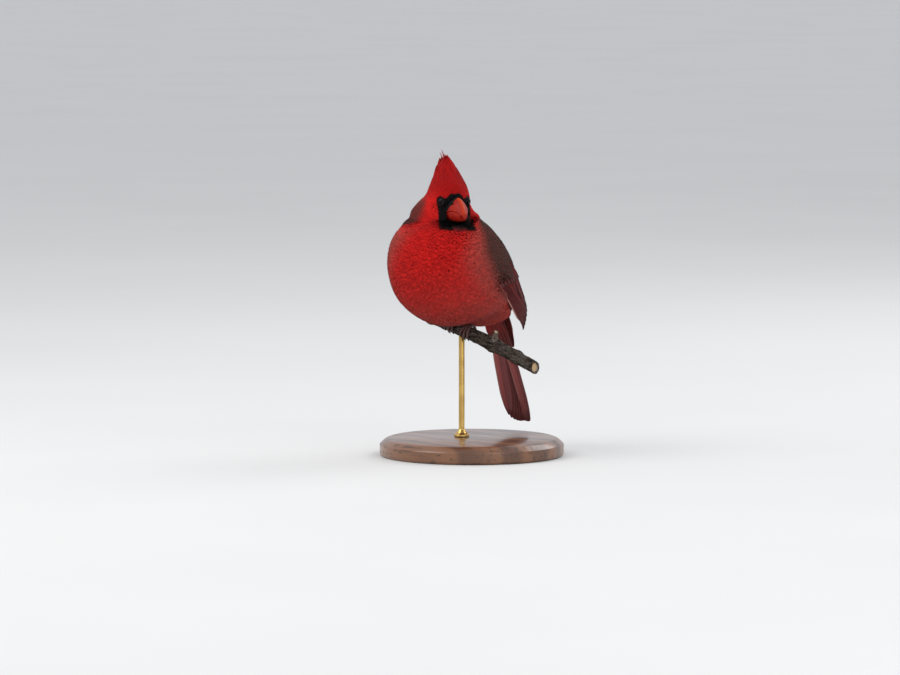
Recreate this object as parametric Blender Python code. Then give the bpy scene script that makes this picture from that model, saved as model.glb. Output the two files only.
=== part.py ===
# Male northern cardinal, life size, sitting fluffed up on a cut length of branch
# that a small display stand carries.
#
# Lengths are metres and angles are degrees.  The bird is drawn in a frame of its own
# with its body facing -Y, its left side towards +X and up along +Z.  An empty then
# carries that frame to its place over the stand.

import math
import random

import bmesh
import bpy
import numpy as np

# Overall placing
GAP = 0.0003
BIRD_ORIGIN = (-0.008, -0.0185, 0.126)

# Torso rings from the root of the tail to the base of the neck:
# belly y, belly z, back y, back z, half width, turn of the ring about its own axis
TORSO_STATIONS = [
    (0.0450, -0.0345, 0.0570, -0.0275, 0.0140, 0.0),
    (0.0350, -0.0395, 0.0550, -0.0160, 0.0232, 0.0),
    (0.0160, -0.0368, 0.0515, -0.0050, 0.0285, 0.0),
    (-0.0030, -0.0370, 0.0475, 0.0050, 0.0343, 0.0),
    (-0.0203, -0.0298, 0.0420, 0.0150, 0.0380, 0.0),
    (-0.0328, -0.0183, 0.0360, 0.0240, 0.0392, 0.0),
    (-0.0392, -0.0003, 0.0315, 0.0290, 0.0380, 0.0),
    (-0.0385, 0.0160, 0.0275, 0.0335, 0.0346, 12.0),
    (-0.0320, 0.0290, 0.0230, 0.0372, 0.0280, 28.0),
]

# Head and crest rings, stacked up the head's own axis:
# height, front, back, half width, turn of the head there, share of the head's own
# tilt in the ring's plane, narrowing to the front, swell of the nape on the side
# that the head turns away from
HEAD_CENTRE = (0.003, 0.002, 0.047)
HEAD_YAW = 63.0
HEAD_PITCH = -8.0
HEAD_STATIONS = [
    (-0.0095, 0.0235, -0.0165, 0.0180, 46.0, 0.15, 0.00, 0.71),
    (-0.0055, 0.0185, -0.0175, 0.0158, 55.0, 0.50, 0.04, 0.68),
    (-0.0010, 0.0146, -0.0181, 0.0149, 61.0, 0.90, 0.10, 0.37),
    (0.0040, 0.0130, -0.0175, 0.0144, 63.0, 1.00, 0.12, 0.09),
    (0.0100, 0.0100, -0.0178, 0.0131, 63.0, 1.00, 0.08, 0.0),
    (0.0160, 0.0052, -0.0180, 0.0103, 63.0, 1.00, 0.0, 0.0),
    (0.0220, -0.0012, -0.0183, 0.0070, 63.0, 1.00, 0.0, 0.0),
    (0.0275, -0.0080, -0.0180, 0.0037, 63.0, 1.00, 0.0, 0.0),
    (0.0320, -0.0130, -0.0175, 0.0012, 63.0, 1.00, 0.0, 0.0),
]
SWELL_ANGLE = -115.0
SWELL_WAVE = 1.3

# Where the loft is parted into nodes, counted in stations
NECK_LOW = 7.3
NECK_HIGH = 8.1
CREST_LOW = 12.72
CREST_CORE_TOP = 15.3
CREST_CORE_INSET = 0.0012
CREST_VANE_THICK = 0.0008
RIDGE_SHARE = 0.6
# Rows of crest vanes: start, length in stations, count, half width, lift of the tip
CREST_ROWS = [
    (12.90, 1.50, 9, 0.0034, 0.0003),
    (13.45, 1.50, 8, 0.0030, 0.0004),
    (14.00, 1.45, 7, 0.0025, 0.0005),
    (14.55, 1.45, 6, 0.0020, 0.0006),
    (15.05, 1.60, 4, 0.0017, 0.0005),
]
CREST_VANE_SHAPE = [(0.0, 0.8), (0.5, 1.0), (1.0, 0.15)]
CREST_TOP = 16.2
CREST_NARROWEST = 0.0015

# Eyes, in the head's forward, side and up directions from its centre
EYE_RADIUS = 0.00325
EYE_AT = (0.0072, 0.0090, 0.0024)
EYE_LOOK = (0.42, 0.90, 0.08)
LID_DEPTH = 0.0024
LID_RADIUS = 0.00316
LID_WIRE = 0.0004

# Bill, in the same directions.  Rows: forward, culmen height, mouth line height,
# lower edge height, half width
BILL_SEAT = 0.0118
BILL_ROWS = [
    (0.0121, 0.0060, -0.0050, -0.0092, 0.0076),
    (0.0145, 0.0064, -0.0034, -0.0096, 0.0075),
    (0.0175, 0.0060, -0.0027, -0.0094, 0.0067),
    (0.0205, 0.0046, -0.0024, -0.0087, 0.0056),
    (0.0235, 0.0023, -0.0026, -0.0077, 0.0042),
    (0.0260, -0.0002, -0.0031, -0.0065, 0.0029),
    (0.0278, -0.0024, -0.0040, -0.0054, 0.0017),
    (0.0291, -0.0050, -0.0058, -0.0050, 0.0006),
]
LOWER_BILL_ROWS = 6
# How square each half of the bill is in section: 1 is a plain half ellipse
UPPER_BILL_ROUND = 0.95
LOWER_BILL_ROUND = 0.60
LOWER_BILL_SHARE = 0.96
BILL_SIDES = 8
POCKET_REACH = 0.016
NOSTRIL_AT = (0.0142, 0.0062, 0.0022)
NOSTRIL_RADIUS = 0.0008

# Folded left wing: a curved sheet over the flank, with a along the wing from the wrist
# to the tip, b across it towards the back and h outwards
WING_WRIST = (0.031, -0.010, 0.012)
WING_TIP = (0.014, 0.068, -0.040)
WING_OUT = (0.902, 0.358, 0.242)
SHEET_LEVEL = 0.0120
SHEET_TOP_A = 0.023
SHEET_TOP_B = 0.009
SHEET_RADIUS_A = 0.085
SHEET_RADIUS_B = 0.045
SHEET_STRAIGHT_FROM = 0.037
SHEET_CURL_FROM = 0.076
SHEET_CURL_RADIUS = 0.050
VANE_THICK = 0.00052
VANE_RIDGE = 0.00012
LAYER = 0.0003
BED_DEPTH = 0.025
BED_MARGIN = 0.0001
SLAB_DIVISIONS = 5
PRIMARY_TIPS = [
    (0.082, -0.0040), (0.089, -0.0032), (0.0935, -0.0022), (0.0948, -0.0008), (0.0925, 0.0010),
    (0.0890, 0.0028), (0.0860, 0.0044), (0.0830, 0.0058),
]
SECONDARY_COUNT = 4
TERTIAL_TIPS = [(0.0785, 0.0090), (0.0725, 0.0106), (0.0650, 0.0122)]
# Edges of the wing and of its bed in the torso: a, lower b, upper b
WING_EDGE = [
    (-0.0060, -0.0040, 0.0100), (-0.0030, -0.0090, 0.0160), (0.0050, -0.0105, 0.0195),
    (0.0300, -0.0115, 0.0215), (0.0550, -0.0112, 0.0210), (0.0700, -0.0100, 0.0180),
    (0.0790, -0.0090, 0.0160),
]
BED_STATIONS = [
    -0.0060, -0.0030, 0.0050, 0.0130, 0.0215, 0.0300, 0.0370, 0.0460, 0.0550, 0.0625, 0.0700, 0.0790,
]
# Fleshy core of the wing: a, lower b, upper b, height in the middle
WING_CORE = [
    (-0.0040, -0.0020, 0.0080, 0.0007), (-0.0010, -0.0060, 0.0135, 0.0022),
    (0.0050, -0.0085, 0.0165, 0.0029), (0.0130, -0.0090, 0.0175, 0.0030),
    (0.0215, -0.0090, 0.0180, 0.0028), (0.0300, -0.0085, 0.0180, 0.0024),
    (0.0380, -0.0075, 0.0175, 0.0018), (0.0460, -0.0060, 0.0165, 0.0012),
]
WING_CORE_EDGE = 0.0006
LOWEST_VANE = 0.00081
PRIMARY_HALF_WIDTH = 0.0040
SECONDARY_HALF_WIDTH = 0.0046
TERTIAL_HALF_WIDTH = 0.0052
# The vanes are pressed together towards the wing's upper edge
PRESS_FROM = 0.008
PRESS_OVER = 0.014
PRESS_SHARE = 0.72

# Tail, measured from where its feathers enter the body: s along, x across, n to the back
TAIL_FROM = (0.0012, 0.0455, -0.0135)
TAIL_SLOPE = 70.0
TAIL_STACK_TOP = 0.0018
TAIL_ROOT = 0.020
TAIL_ARCH = 0.040
TAIL_HALF_WIDTH = 0.0052
TAIL_LENGTHS = [0.0985, 0.0985, 0.0980, 0.0970, 0.0955, 0.0930]
TAIL_SPREAD = [0.0014, 0.0032, 0.0048, 0.0063, 0.0076, 0.0087]
TAIL_CORE_SIDES = 24
# Fleshy root of the tail: s, half width, half depth, middle n
TAIL_CORE = [
    (0.0235, 0.0086, 0.0052, -0.0009), (0.0310, 0.0084, 0.0036, -0.0007),
    (0.0400, 0.0076, 0.0022, -0.0003),
]

# Branch: it runs along X under the belly and falls towards the bird's left
PERCH_Y = 0.017
PERCH_Z = -0.0405
PERCH_SLOPE = -0.27
PERCH_BEND = -0.9
PERCH_FROM = -0.038
PERCH_TO = 0.066
PERCH_RADIUS = 0.0043
PERCH_KNOTS = [(-0.027, 0.0010, 0.0030), (0.029, 0.0011, 0.0032), (0.050, 0.0009, 0.0028)]
PERCH_RINGS = [
    PERCH_FROM, -0.0320, -0.0290, -0.0265, -0.0235, -0.0190, -0.0100, 0.0, 0.0100, 0.0210, 0.0260,
    0.0290, 0.0325, 0.0400, 0.0465, 0.0500, 0.0540, PERCH_TO,
]

# Legs and feet
FOOT_X = 0.007
LEG_TOP_RADIUS = 0.0036
LEG_LOW_RADIUS = 0.0016
LEG_LENGTH = 0.0060
HUB_HEIGHT = 0.0030
HUB_RADIUS = 0.0020
TOE_RADIUS = 0.00105
WELL_CLEARANCE = 0.0006
TOE_CLEARANCE_RADIUS = 0.0073
# Toes: sideways start, sideways end, start angle, end angle around the branch
TOES = [
    (-0.0010, -0.0038, 8.0, 112.0), (0.0, 0.0, 8.0, 128.0),
    (0.0010, 0.0038, 8.0, 112.0), (0.0, 0.0006, -8.0, -104.0),
]
CLAW_ANGLE = 38.0

# Stand
BASE_PROFILE = [
    (0.0, 0.0), (0.0618, 0.0), (0.0630, 0.0014), (0.0630, 0.0078), (0.0614, 0.0094), (0.0592, 0.0112),
    (0.0568, 0.0120), (0.0, 0.0120),
]
BASE_TOP = 0.0120
ROD_RADIUS = 0.0020
ROD_AT_X = 0.0
ROD_DEPTH_IN_PERCH = 0.0020
COLLAR = [(0.0052, 0.0), (0.0052, 0.0014), (0.0038, 0.0024), (0.0026, 0.0042)]

# Colours
RED = (0.42, 0.022, 0.020)
CREST_RED = (0.34, 0.014, 0.014)
WING_RED = (0.17, 0.028, 0.030)
TAIL_RED = (0.22, 0.035, 0.035)
BILL_ORANGE = (0.72, 0.13, 0.055)
EYE_DARK = (0.012, 0.009, 0.008)
LEG_BROWN = (0.115, 0.045, 0.040)
BARK = (0.13, 0.095, 0.070)
WALNUT = (0.105, 0.050, 0.026)
BRASS = (0.66, 0.47, 0.20)

rng = random.Random(41)


def unit(v):
    v = np.asarray(v, float)
    return v / np.linalg.norm(v)


def smooth(x):
    x = min(1.0, max(0.0, x))
    return x * x * (3.0 - 2.0 * x)


def rows_at(table, x):
    keys = [row[0] for row in table]
    return [float(np.interp(x, keys, [row[k] for row in table])) for k in range(1, len(table[0]))]


# Body surface

def head_axes(yaw, pitch):
    a = math.radians(yaw)
    p = math.radians(pitch)
    forward = np.array([math.sin(a) * math.cos(p), -math.cos(a) * math.cos(p), math.sin(p)])
    side = np.array([math.cos(a), math.sin(a), 0.0])
    up = np.cross(forward, -side)
    if up[2] < 0.0:
        up = -up
    return forward, side, up


HEAD_F, HEAD_S, HEAD_U = head_axes(HEAD_YAW, HEAD_PITCH)
UP = np.array([0.0, 0.0, 1.0])


def station_rows():
    rows = []
    across = np.array([1.0, 0.0, 0.0])
    for belly_y, belly_z, back_y, back_z, width, turn in TORSO_STATIONS:
        front = np.array([0.0, belly_y, belly_z])
        back = np.array([0.0, back_y, back_z])
        depth = np.linalg.norm(front - back) / 2.0
        ahead = (front - back) / (2.0 * depth)
        q = math.radians(turn)
        a = depth * math.cos(q) * ahead + width * math.sin(q) * across
        b = -depth * math.sin(q) * ahead + width * math.cos(q) * across
        rows.append(np.concatenate([(front + back) / 2.0, a, b, [0.0, 0.0]]))
    last = TORSO_STATIONS[-1]
    body_up = unit((0.0, last[1] - last[3], last[2] - last[0]))
    for height, front, back, width, yaw, share, narrow, swell in HEAD_STATIONS:
        plane = unit(body_up * (1.0 - share) + HEAD_U * share)
        f, s = [axis - UP * np.dot(plane, axis) / plane[2] for axis in head_axes(yaw, 0.0)[:2]]
        centre = np.array(HEAD_CENTRE) + plane * height + f * (front + back) / 2.0
        rows.append(np.concatenate([centre, f * (front - back) / 2.0, s * width, [narrow, swell]]))
    return np.array(rows)


STATIONS = station_rows()


def station_at(t):
    last = len(STATIONS) - 1
    t = min(max(t, 0.0), last - 1e-6)
    i = int(t)
    u = t - i
    p1 = STATIONS[i]
    p2 = STATIONS[i + 1]
    p0 = STATIONS[i - 1] if i > 0 else 2.0 * p1 - p2
    p3 = STATIONS[i + 2] if i + 2 <= last else 2.0 * p2 - p1
    return 0.5 * (2.0 * p1 + (p2 - p0) * u + (2.0 * p0 - 5.0 * p1 + 4.0 * p2 - p3) * u ** 2
                  + (3.0 * p1 - p0 - 3.0 * p2 + p3) * u ** 3)


def swell_of(phi):
    away = math.remainder(phi - math.radians(SWELL_ANGLE), 2.0 * math.pi)
    if abs(away) * SWELL_WAVE > math.pi / 2.0:
        return 0.0
    return math.cos(away * SWELL_WAVE) ** 2


def body_point(t, phi, inset=0.0):
    row = station_at(t)
    centre = row[0:3]
    out = math.cos(phi) * row[3:6] + math.sin(phi) * (1.0 - row[9] * math.cos(phi)) * row[6:9]
    out = out * (1.0 + row[10] * swell_of(phi))
    return centre + out * (1.0 - inset / np.linalg.norm(out))


def body_normal(t, phi):
    step = 1e-3
    along = body_point(t + step, phi) - body_point(t - step, phi)
    around = body_point(t, phi + step) - body_point(t, phi - step)
    n = unit(np.cross(along, around))
    if np.dot(n, body_point(t, phi) - station_at(t)[0:3]) < 0.0:
        n = -n
    return n


def body_ring(t, count, shift=0.0, inset=0.0):
    row = station_at(t)
    plane = unit(np.cross(row[3:6], row[6:9]))
    ahead = station_at(t + 0.01)[0:3] - station_at(t - 0.01)[0:3]
    if np.dot(plane, ahead) < 0.0:
        plane = -plane
    angles = [2.0 * math.pi * k / count for k in range(count)]
    return [body_point(t, phi, inset) + plane * shift for phi in angles]


def in_head(forward, side, up):
    return np.array(HEAD_CENTRE) + HEAD_F * forward + HEAD_S * side + HEAD_U * up


# Meshes

def loft(rings):
    count = len(rings[0])
    verts = [tuple(p) for ring in rings for p in ring]
    faces = []
    for r in range(len(rings) - 1):
        for k in range(count):
            j = (k + 1) % count
            faces.append((r * count + k, r * count + j, (r + 1) * count + j, (r + 1) * count + k))
    faces.append(tuple(reversed(range(count))))
    top = (len(rings) - 1) * count
    faces.append(tuple(top + k for k in range(count)))
    return verts, faces


def mirrored(piece):
    verts, faces = piece
    return [(-v[0], v[1], v[2]) for v in verts], [tuple(reversed(f)) for f in faces]


def mesh_object(name, piece):
    verts, faces = piece
    mesh = bpy.data.meshes.new(name)
    mesh.from_pydata([tuple(float(c) for c in v) for v in verts], [], faces)
    bm = bmesh.new()
    bm.from_mesh(mesh)
    bmesh.ops.recalc_face_normals(bm, faces=bm.faces)
    bm.to_mesh(mesh)
    bm.free()
    ob = bpy.data.objects.new(name, mesh)
    bpy.context.scene.collection.objects.link(ob)
    return ob


def drop(ob):
    mesh = ob.data
    bpy.data.objects.remove(ob, do_unlink=True)
    bpy.data.meshes.remove(mesh)


def apply_boolean(ob, modifier):
    for other in bpy.context.selected_objects:
        other.select_set(False)
    bpy.context.view_layer.objects.active = ob
    ob.select_set(True)
    bpy.ops.object.modifier_apply(modifier=modifier.name)


def keep_largest(ob):
    bm = bmesh.new()
    bm.from_mesh(ob.data)
    bm.verts.ensure_lookup_table()
    seen = set()
    groups = []
    for start in bm.verts:
        if start in seen:
            continue
        stack = [start]
        seen.add(start)
        group = []
        while stack:
            v = stack.pop()
            group.append(v)
            for edge in v.link_edges:
                other = edge.other_vert(v)
                if other not in seen:
                    seen.add(other)
                    stack.append(other)
        groups.append(group)
    groups.sort(key=len, reverse=True)
    for group in groups[1:]:
        bmesh.ops.delete(bm, geom=group, context="VERTS")
    bmesh.ops.triangulate(bm, faces=bm.faces)
    bm.to_mesh(ob.data)
    bm.free()


def fuse(name, pieces, solver="MANIFOLD"):
    ob = mesh_object(name, pieces[0])
    group = bpy.data.collections.new(name + "_pieces")
    bpy.context.scene.collection.children.link(group)
    others = []
    for k, piece in enumerate(pieces[1:]):
        other = mesh_object(f"{name}_piece_{k}", piece)
        bpy.context.scene.collection.objects.unlink(other)
        group.objects.link(other)
        others.append(other)
    modifier = ob.modifiers.new("fuse", "BOOLEAN")
    modifier.operation = "UNION"
    modifier.operand_type = "COLLECTION"
    modifier.collection = group
    modifier.solver = solver
    apply_boolean(ob, modifier)
    for other in others:
        drop(other)
    bpy.data.collections.remove(group)
    keep_largest(ob)
    return ob


def cut(ob, piece, solver="EXACT"):
    tool = mesh_object(ob.name + "_cutter", piece)
    modifier = ob.modifiers.new("cut", "BOOLEAN")
    modifier.operation = "DIFFERENCE"
    modifier.object = tool
    modifier.solver = solver
    apply_boolean(ob, modifier)
    drop(tool)


def ball(centre, radius, segments=14, rings=8, axis=(0.0, 0.0, 1.0)):
    w = unit(axis)
    u = unit(np.cross(w, (0.31, 0.73, 0.11)))
    v = np.cross(w, u)
    centre = np.asarray(centre, float)
    verts = [centre - w * radius]
    for r in range(1, rings):
        polar = math.pi * r / rings
        for k in range(segments):
            a = 2.0 * math.pi * k / segments
            verts.append(centre - w * radius * math.cos(polar)
                         + (u * math.cos(a) + v * math.sin(a)) * radius * math.sin(polar))
    verts.append(centre + w * radius)
    faces = []
    top = len(verts) - 1
    for k in range(segments):
        j = (k + 1) % segments
        faces.append((0, 1 + j, 1 + k))
        for r in range(rings - 2):
            low = 1 + r * segments
            faces.append((low + k, low + j, low + segments + j, low + segments + k))
        last = 1 + (rings - 2) * segments
        faces.append((last + k, last + j, top))
    return verts, faces


def torus(centre, axis, major, minor, segments=16, sides=5):
    w = unit(axis)
    u = unit(np.cross(w, (0.31, 0.73, 0.11)))
    v = np.cross(w, u)
    verts = []
    faces = []
    for k in range(segments):
        a = 2.0 * math.pi * k / segments
        out = u * math.cos(a) + v * math.sin(a)
        for m in range(sides):
            b = 2.0 * math.pi * m / sides
            ring = out * (major + minor * math.cos(b))
            verts.append(np.asarray(centre) + ring + w * minor * math.sin(b))
            k2 = (k + 1) % segments
            m2 = (m + 1) % sides
            faces.append((k * sides + m, k2 * sides + m, k2 * sides + m2, k * sides + m2))
    return verts, faces


def tube(path, radii, sides, end_tilts=(0.0, 0.0)):
    path = [np.asarray(p, float) for p in path]
    rings = []
    reference = np.array([0.13, 0.21, 0.97])
    for k, p in enumerate(path):
        low = path[max(0, k - 1)]
        high = path[min(len(path) - 1, k + 1)]
        along = unit(high - low)
        u = unit(reference - along * np.dot(reference, along))
        v = np.cross(along, u)
        tilt = 0.0
        if k == 0:
            tilt = end_tilts[0]
        if k == len(path) - 1:
            tilt = end_tilts[1]
        ring = []
        for m in range(sides):
            a = 2.0 * math.pi * m / sides
            lean = along * tilt * math.cos(a)
            ring.append(p + (u * math.cos(a) + v * math.sin(a) + lean) * radii[k])
        rings.append(ring)
    return loft(rings)


def turned(profile, centre, segments):
    verts = []
    faces = []
    rows = []
    for radius, height in profile:
        if radius == 0.0:
            rows.append([len(verts)])
            verts.append((centre[0], centre[1], centre[2] + height))
            continue
        row = []
        for k in range(segments):
            a = 2.0 * math.pi * k / segments
            row.append(len(verts))
            verts.append((centre[0] + radius * math.cos(a), centre[1] + radius * math.sin(a),
                          centre[2] + height))
        rows.append(row)
    for low, high in zip(rows, rows[1:]):
        for k in range(segments):
            j = (k + 1) % segments
            if len(low) == 1:
                faces.append((low[0], high[k], high[j]))
            elif len(high) == 1:
                faces.append((low[k], low[j], high[0]))
            else:
                faces.append((low[k], low[j], high[j], high[k]))
    return verts, faces


# Feather vanes: each row is left edge, middle, right edge and outward normal

def vane_mesh(rows):
    verts = []
    faces = []
    half = VANE_THICK / 2.0
    for left, middle, right, normal in rows:
        verts += [left + normal * half, middle + normal * (half + VANE_RIDGE), right + normal * half]
        verts += [right - normal * half, left - normal * half]
    for r in range(len(rows) - 1):
        a = 5 * r
        b = a + 5
        for k in range(5):
            j = (k + 1) % 5
            faces += [(a + k, a + j, b + j), (a + k, b + j, b + k)]
    end = 5 * (len(rows) - 1)
    faces += [(1, 0, 4), (2, 1, 3), (3, 1, 4)]
    faces += [(end, end + 1, end + 4), (end + 1, end + 2, end + 3), (end + 1, end + 3, end + 4)]
    return verts, faces


def lozenge_mesh(rows, thick):
    rings = []
    for left, middle, right, normal in rows:
        rings.append([left, middle + normal * thick * RIDGE_SHARE, right,
                      middle - normal * thick * (1.0 - RIDGE_SHARE)])
    return loft(rings)


FLIGHT_SHAPE = [(0.0, 0.40), (0.15, 0.78), (0.45, 1.0), (0.80, 0.96), (0.93, 0.74), (1.0, 0.22)]
COVERT_SHAPE = [(0.0, 0.60), (0.60, 1.0), (1.0, 0.35)]
FLIGHT_CUTS = [0.0, 0.18, 0.38, 0.65, 0.93, 1.0]
COVERT_CUTS = [0.0, 0.6, 1.0]


def path_at(path, f):
    lengths = [0.0]
    for p, q in zip(path, path[1:]):
        lengths.append(lengths[-1] + math.dist(p[:2], q[:2]))
    s = f * lengths[-1]
    point = [float(np.interp(s, lengths, [p[k] for p in path])) for k in range(3)]
    e = 0.02 * lengths[-1]
    ahead = [float(np.interp(min(lengths[-1], s + e), lengths, [p[k] for p in path])) for k in (0, 1)]
    behind = [float(np.interp(max(0.0, s - e), lengths, [p[k] for p in path])) for k in (0, 1)]
    return point, ahead[0] - behind[0], ahead[1] - behind[1]


def sheet_vane(surface, normal, path, half_width, shape=FLIGHT_SHAPE, cuts=FLIGHT_CUTS):
    rows = []
    for f in cuts:
        point, du, dv = path_at(path, f)
        length = math.hypot(du, dv)
        width = half_width * rows_at(shape, f)[0]
        pu = -dv / length * width
        pv = du / length * width
        u, v, h = point
        rows.append((surface(u - pu, v - pv, h), surface(u, v, h), surface(u + pu, v + pv, h), normal(u, v)))
    return vane_mesh(rows)


# Torso, neck, head and crest

def wing_axes():
    along = unit(np.array(WING_TIP) - np.array(WING_WRIST))
    out = np.array(WING_OUT)
    out = unit(out - along * np.dot(out, along))
    return along, np.cross(out, along), out


WING_A, WING_B, WING_H = wing_axes()


def sheet_height(a, b):
    near = min(a, SHEET_STRAIGHT_FROM)
    height = SHEET_LEVEL - (near - SHEET_TOP_A) ** 2 / (2.0 * SHEET_RADIUS_A)
    height -= (b - SHEET_TOP_B) ** 2 / (2.0 * SHEET_RADIUS_B)
    if a > SHEET_STRAIGHT_FROM:
        height -= (a - SHEET_STRAIGHT_FROM) * (SHEET_STRAIGHT_FROM - SHEET_TOP_A) / SHEET_RADIUS_A
    if a > SHEET_CURL_FROM:
        height -= (a - SHEET_CURL_FROM) ** 2 / (2.0 * SHEET_CURL_RADIUS)
    return height


def wing_floor(a, b, h):
    return np.array(WING_WRIST) + WING_A * a + WING_B * b + WING_H * (sheet_height(a, b) + h)


def wing_point(a, b, h):
    thinning = 1.0 - PRESS_SHARE * smooth((b - PRESS_FROM) / PRESS_OVER)
    return wing_floor(a, b, h * thinning)


def wing_normal(a, b):
    step = 0.001
    along = wing_floor(a + step, b, 0.0) - wing_floor(a - step, b, 0.0)
    across = wing_floor(a, b + step, 0.0) - wing_floor(a, b - step, 0.0)
    return unit(np.cross(along, across))


def slab(stations, edges, low, high):
    rings = []
    for a in stations:
        lower, upper = edges(a)
        bs = [lower + (upper - lower) * k / SLAB_DIVISIONS for k in range(SLAB_DIVISIONS + 1)]
        ring = [wing_floor(a, b, low(a, b)) for b in bs]
        ring += [wing_floor(a, b, high(a, b)) for b in reversed(bs)]
        rings.append(ring)
    return loft(rings)


def torso_tools():
    bed = slab(BED_STATIONS, lambda a: rows_at(WING_EDGE, a), lambda a, b: -GAP - BED_MARGIN,
               lambda a, b: BED_DEPTH)
    tools = [bed, mirrored(bed)]
    xs = [PERCH_FROM - 0.008] + [x for x in PERCH_RINGS if x < 0.045]
    tools.append(tube([perch_at(x) for x in xs], [perch_radius(x) + 0.0007 for x in xs], 14))
    xs = np.linspace(-FOOT_X - 0.0068, FOOT_X + 0.0068, 4)
    tools.append(tube([perch_at(x) for x in xs], [TOE_CLEARANCE_RADIUS] * len(xs), 14))
    for side in (-1.0, 1.0):
        x = side * FOOT_X
        top = leg_top(x) + GAP
        low = perch_at(x)[2]
        radius = LEG_TOP_RADIUS + WELL_CLEARANCE
        tools.append(tube([(x, PERCH_Y, low), (x, PERCH_Y, top)], [radius, radius], 16))
    return tools


def build_torso():
    ts = [NECK_LOW * k / 16.0 for k in range(17)]
    rings = [body_ring(t, 34) for t in ts[:-1]] + [body_ring(NECK_LOW, 34, shift=-GAP / 2.0)]
    ob = mesh_object("torso", loft(rings))
    for tool in torso_tools():
        cut(ob, tool)
    keep_largest(ob)
    return ob


def build_neck():
    rings = [body_ring(NECK_LOW, 34, shift=GAP / 2.0)]
    rings += [body_ring(NECK_LOW + 0.27 * k, 34) for k in (1, 2)]
    rings += [body_ring(NECK_HIGH, 34, shift=-GAP / 2.0)]
    return mesh_object("neck", loft(rings))


def bill_outline(forward, grow, part):
    top, mouth, low, half = rows_at(BILL_ROWS, forward)
    roundness = UPPER_BILL_ROUND
    if part == "upper":
        start, rise = mouth + GAP / 2.0, top - mouth - GAP / 2.0
    elif part == "lower":
        start, rise = mouth - GAP / 2.0, low - mouth + GAP / 2.0
        half = half * LOWER_BILL_SHARE
        roundness = LOWER_BILL_ROUND
    else:
        start, rise = mouth, top - mouth
    points = []
    for k in range(BILL_SIDES + 1):
        a = math.pi * k / BILL_SIDES
        fullness = max(0.0, math.sin(a)) ** roundness
        points.append((math.cos(a) * (half + grow), start + (rise + math.copysign(grow, rise)) * fullness))
    return points


def bill_piece(part):
    rows = BILL_ROWS if part == "upper" else BILL_ROWS[:LOWER_BILL_ROWS]
    rings = []
    for row in rows:
        rings.append([in_head(row[0], s, u) for s, u in bill_outline(row[0], 0.0, part)])
    return loft(rings)


def bill_pocket():
    upper = bill_outline(BILL_ROWS[0][0], GAP + 0.0002, "all")
    lower = bill_outline(BILL_ROWS[0][0], GAP + 0.0002, "lower")
    outline = upper[:-1] + [(upper[0][0] * -1.0, upper[-1][1])] + list(reversed(lower[1:-1]))
    near = [in_head(BILL_SEAT, s, u) for s, u in outline]
    far = [in_head(BILL_SEAT + POCKET_REACH, s, u) for s, u in outline]
    return loft([near, far])


def eye_frame(side):
    centre = in_head(EYE_AT[0], EYE_AT[1] * side, EYE_AT[2])
    look = unit(HEAD_F * EYE_LOOK[0] + HEAD_S * EYE_LOOK[1] * side + HEAD_U * EYE_LOOK[2])
    return centre, look


def build_head():
    ts = [NECK_HIGH, 8.5, 8.9, 9.3, 9.8, 10.3, 10.8, 11.3, 11.8, 12.3, CREST_LOW]
    rings = [body_ring(ts[0], 28, shift=GAP / 2.0)]
    rings += [body_ring(t, 28) for t in ts[1:-1]]
    rings += [body_ring(ts[-1], 28, shift=-GAP / 2.0)]
    ob = mesh_object("head", loft(rings))
    cut(ob, bill_pocket())
    for side in (1.0, -1.0):
        centre, look = eye_frame(side)
        cut(ob, ball(centre, EYE_RADIUS + GAP, 14, 9, look))
        lid = mesh_object("lid", torus(centre + look * LID_DEPTH, look, LID_RADIUS, LID_WIRE))
        modifier = ob.modifiers.new("lid", "BOOLEAN")
        modifier.operation = "UNION"
        modifier.object = lid
        apply_boolean(ob, modifier)
        drop(lid)
    keep_largest(ob)
    return ob


def crest_point(t, phi, lift):
    top = len(STATIONS) - 1.002
    base = body_point(min(t, top), phi)
    if t > top:
        beyond = body_point(top, phi) - body_point(top - 0.5, phi)
        base = base + beyond * (t - top) * 2.0
    return base + body_normal(min(t, CREST_TOP), phi) * lift


def crest_vane(t0, t1, phi, half_width, lift):
    rows = []
    for f in (0.0, 0.5, 1.0):
        t = t0 + (t1 - t0) * f
        height = -0.0009 + 0.0006 * f + lift * f * f
        width = half_width * rows_at(CREST_VANE_SHAPE, f)[0]
        held = min(t, CREST_TOP)
        around = np.linalg.norm(body_point(held, phi + 0.01) - body_point(held, phi - 0.01)) / 0.02
        turn = min(0.5, width / max(around, CREST_NARROWEST))
        rows.append((crest_point(t, phi - turn, height), crest_point(t, phi, height),
                     crest_point(t, phi + turn, height), body_normal(held, phi)))
    return lozenge_mesh(rows, CREST_VANE_THICK)


def build_crest():
    ts = [CREST_LOW, 13.2, 13.8, 14.5, CREST_CORE_TOP]
    rings = [body_ring(ts[0], 20, shift=GAP / 2.0, inset=0.0)]
    rings += [body_ring(t, 20, inset=CREST_CORE_INSET) for t in ts[1:]]
    pieces = [loft(rings)]
    for r, (start, length, count, half_width, lift) in enumerate(CREST_ROWS):
        for k in range(count):
            phi = 2.0 * math.pi * (k + 0.5 * (r % 2)) / count
            rear = 0.5 - 0.5 * math.cos(phi)
            reach = length * (0.95 + 0.12 * rear + rng.uniform(-0.04, 0.04))
            pieces.append(crest_vane(start, start + reach, phi, half_width, lift * (0.5 + rear)))
    return fuse("crest", pieces, "EXACT")


# Wings

def wing_top(b):
    return 0.0027 + 0.0024 * smooth((b + 0.002) / 0.012)


def wing_vane(path, half_width, flight=True):
    if flight:
        return sheet_vane(wing_point, wing_normal, path, half_width)
    return sheet_vane(wing_point, wing_normal, path, half_width, COVERT_SHAPE, COVERT_CUTS)


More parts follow.
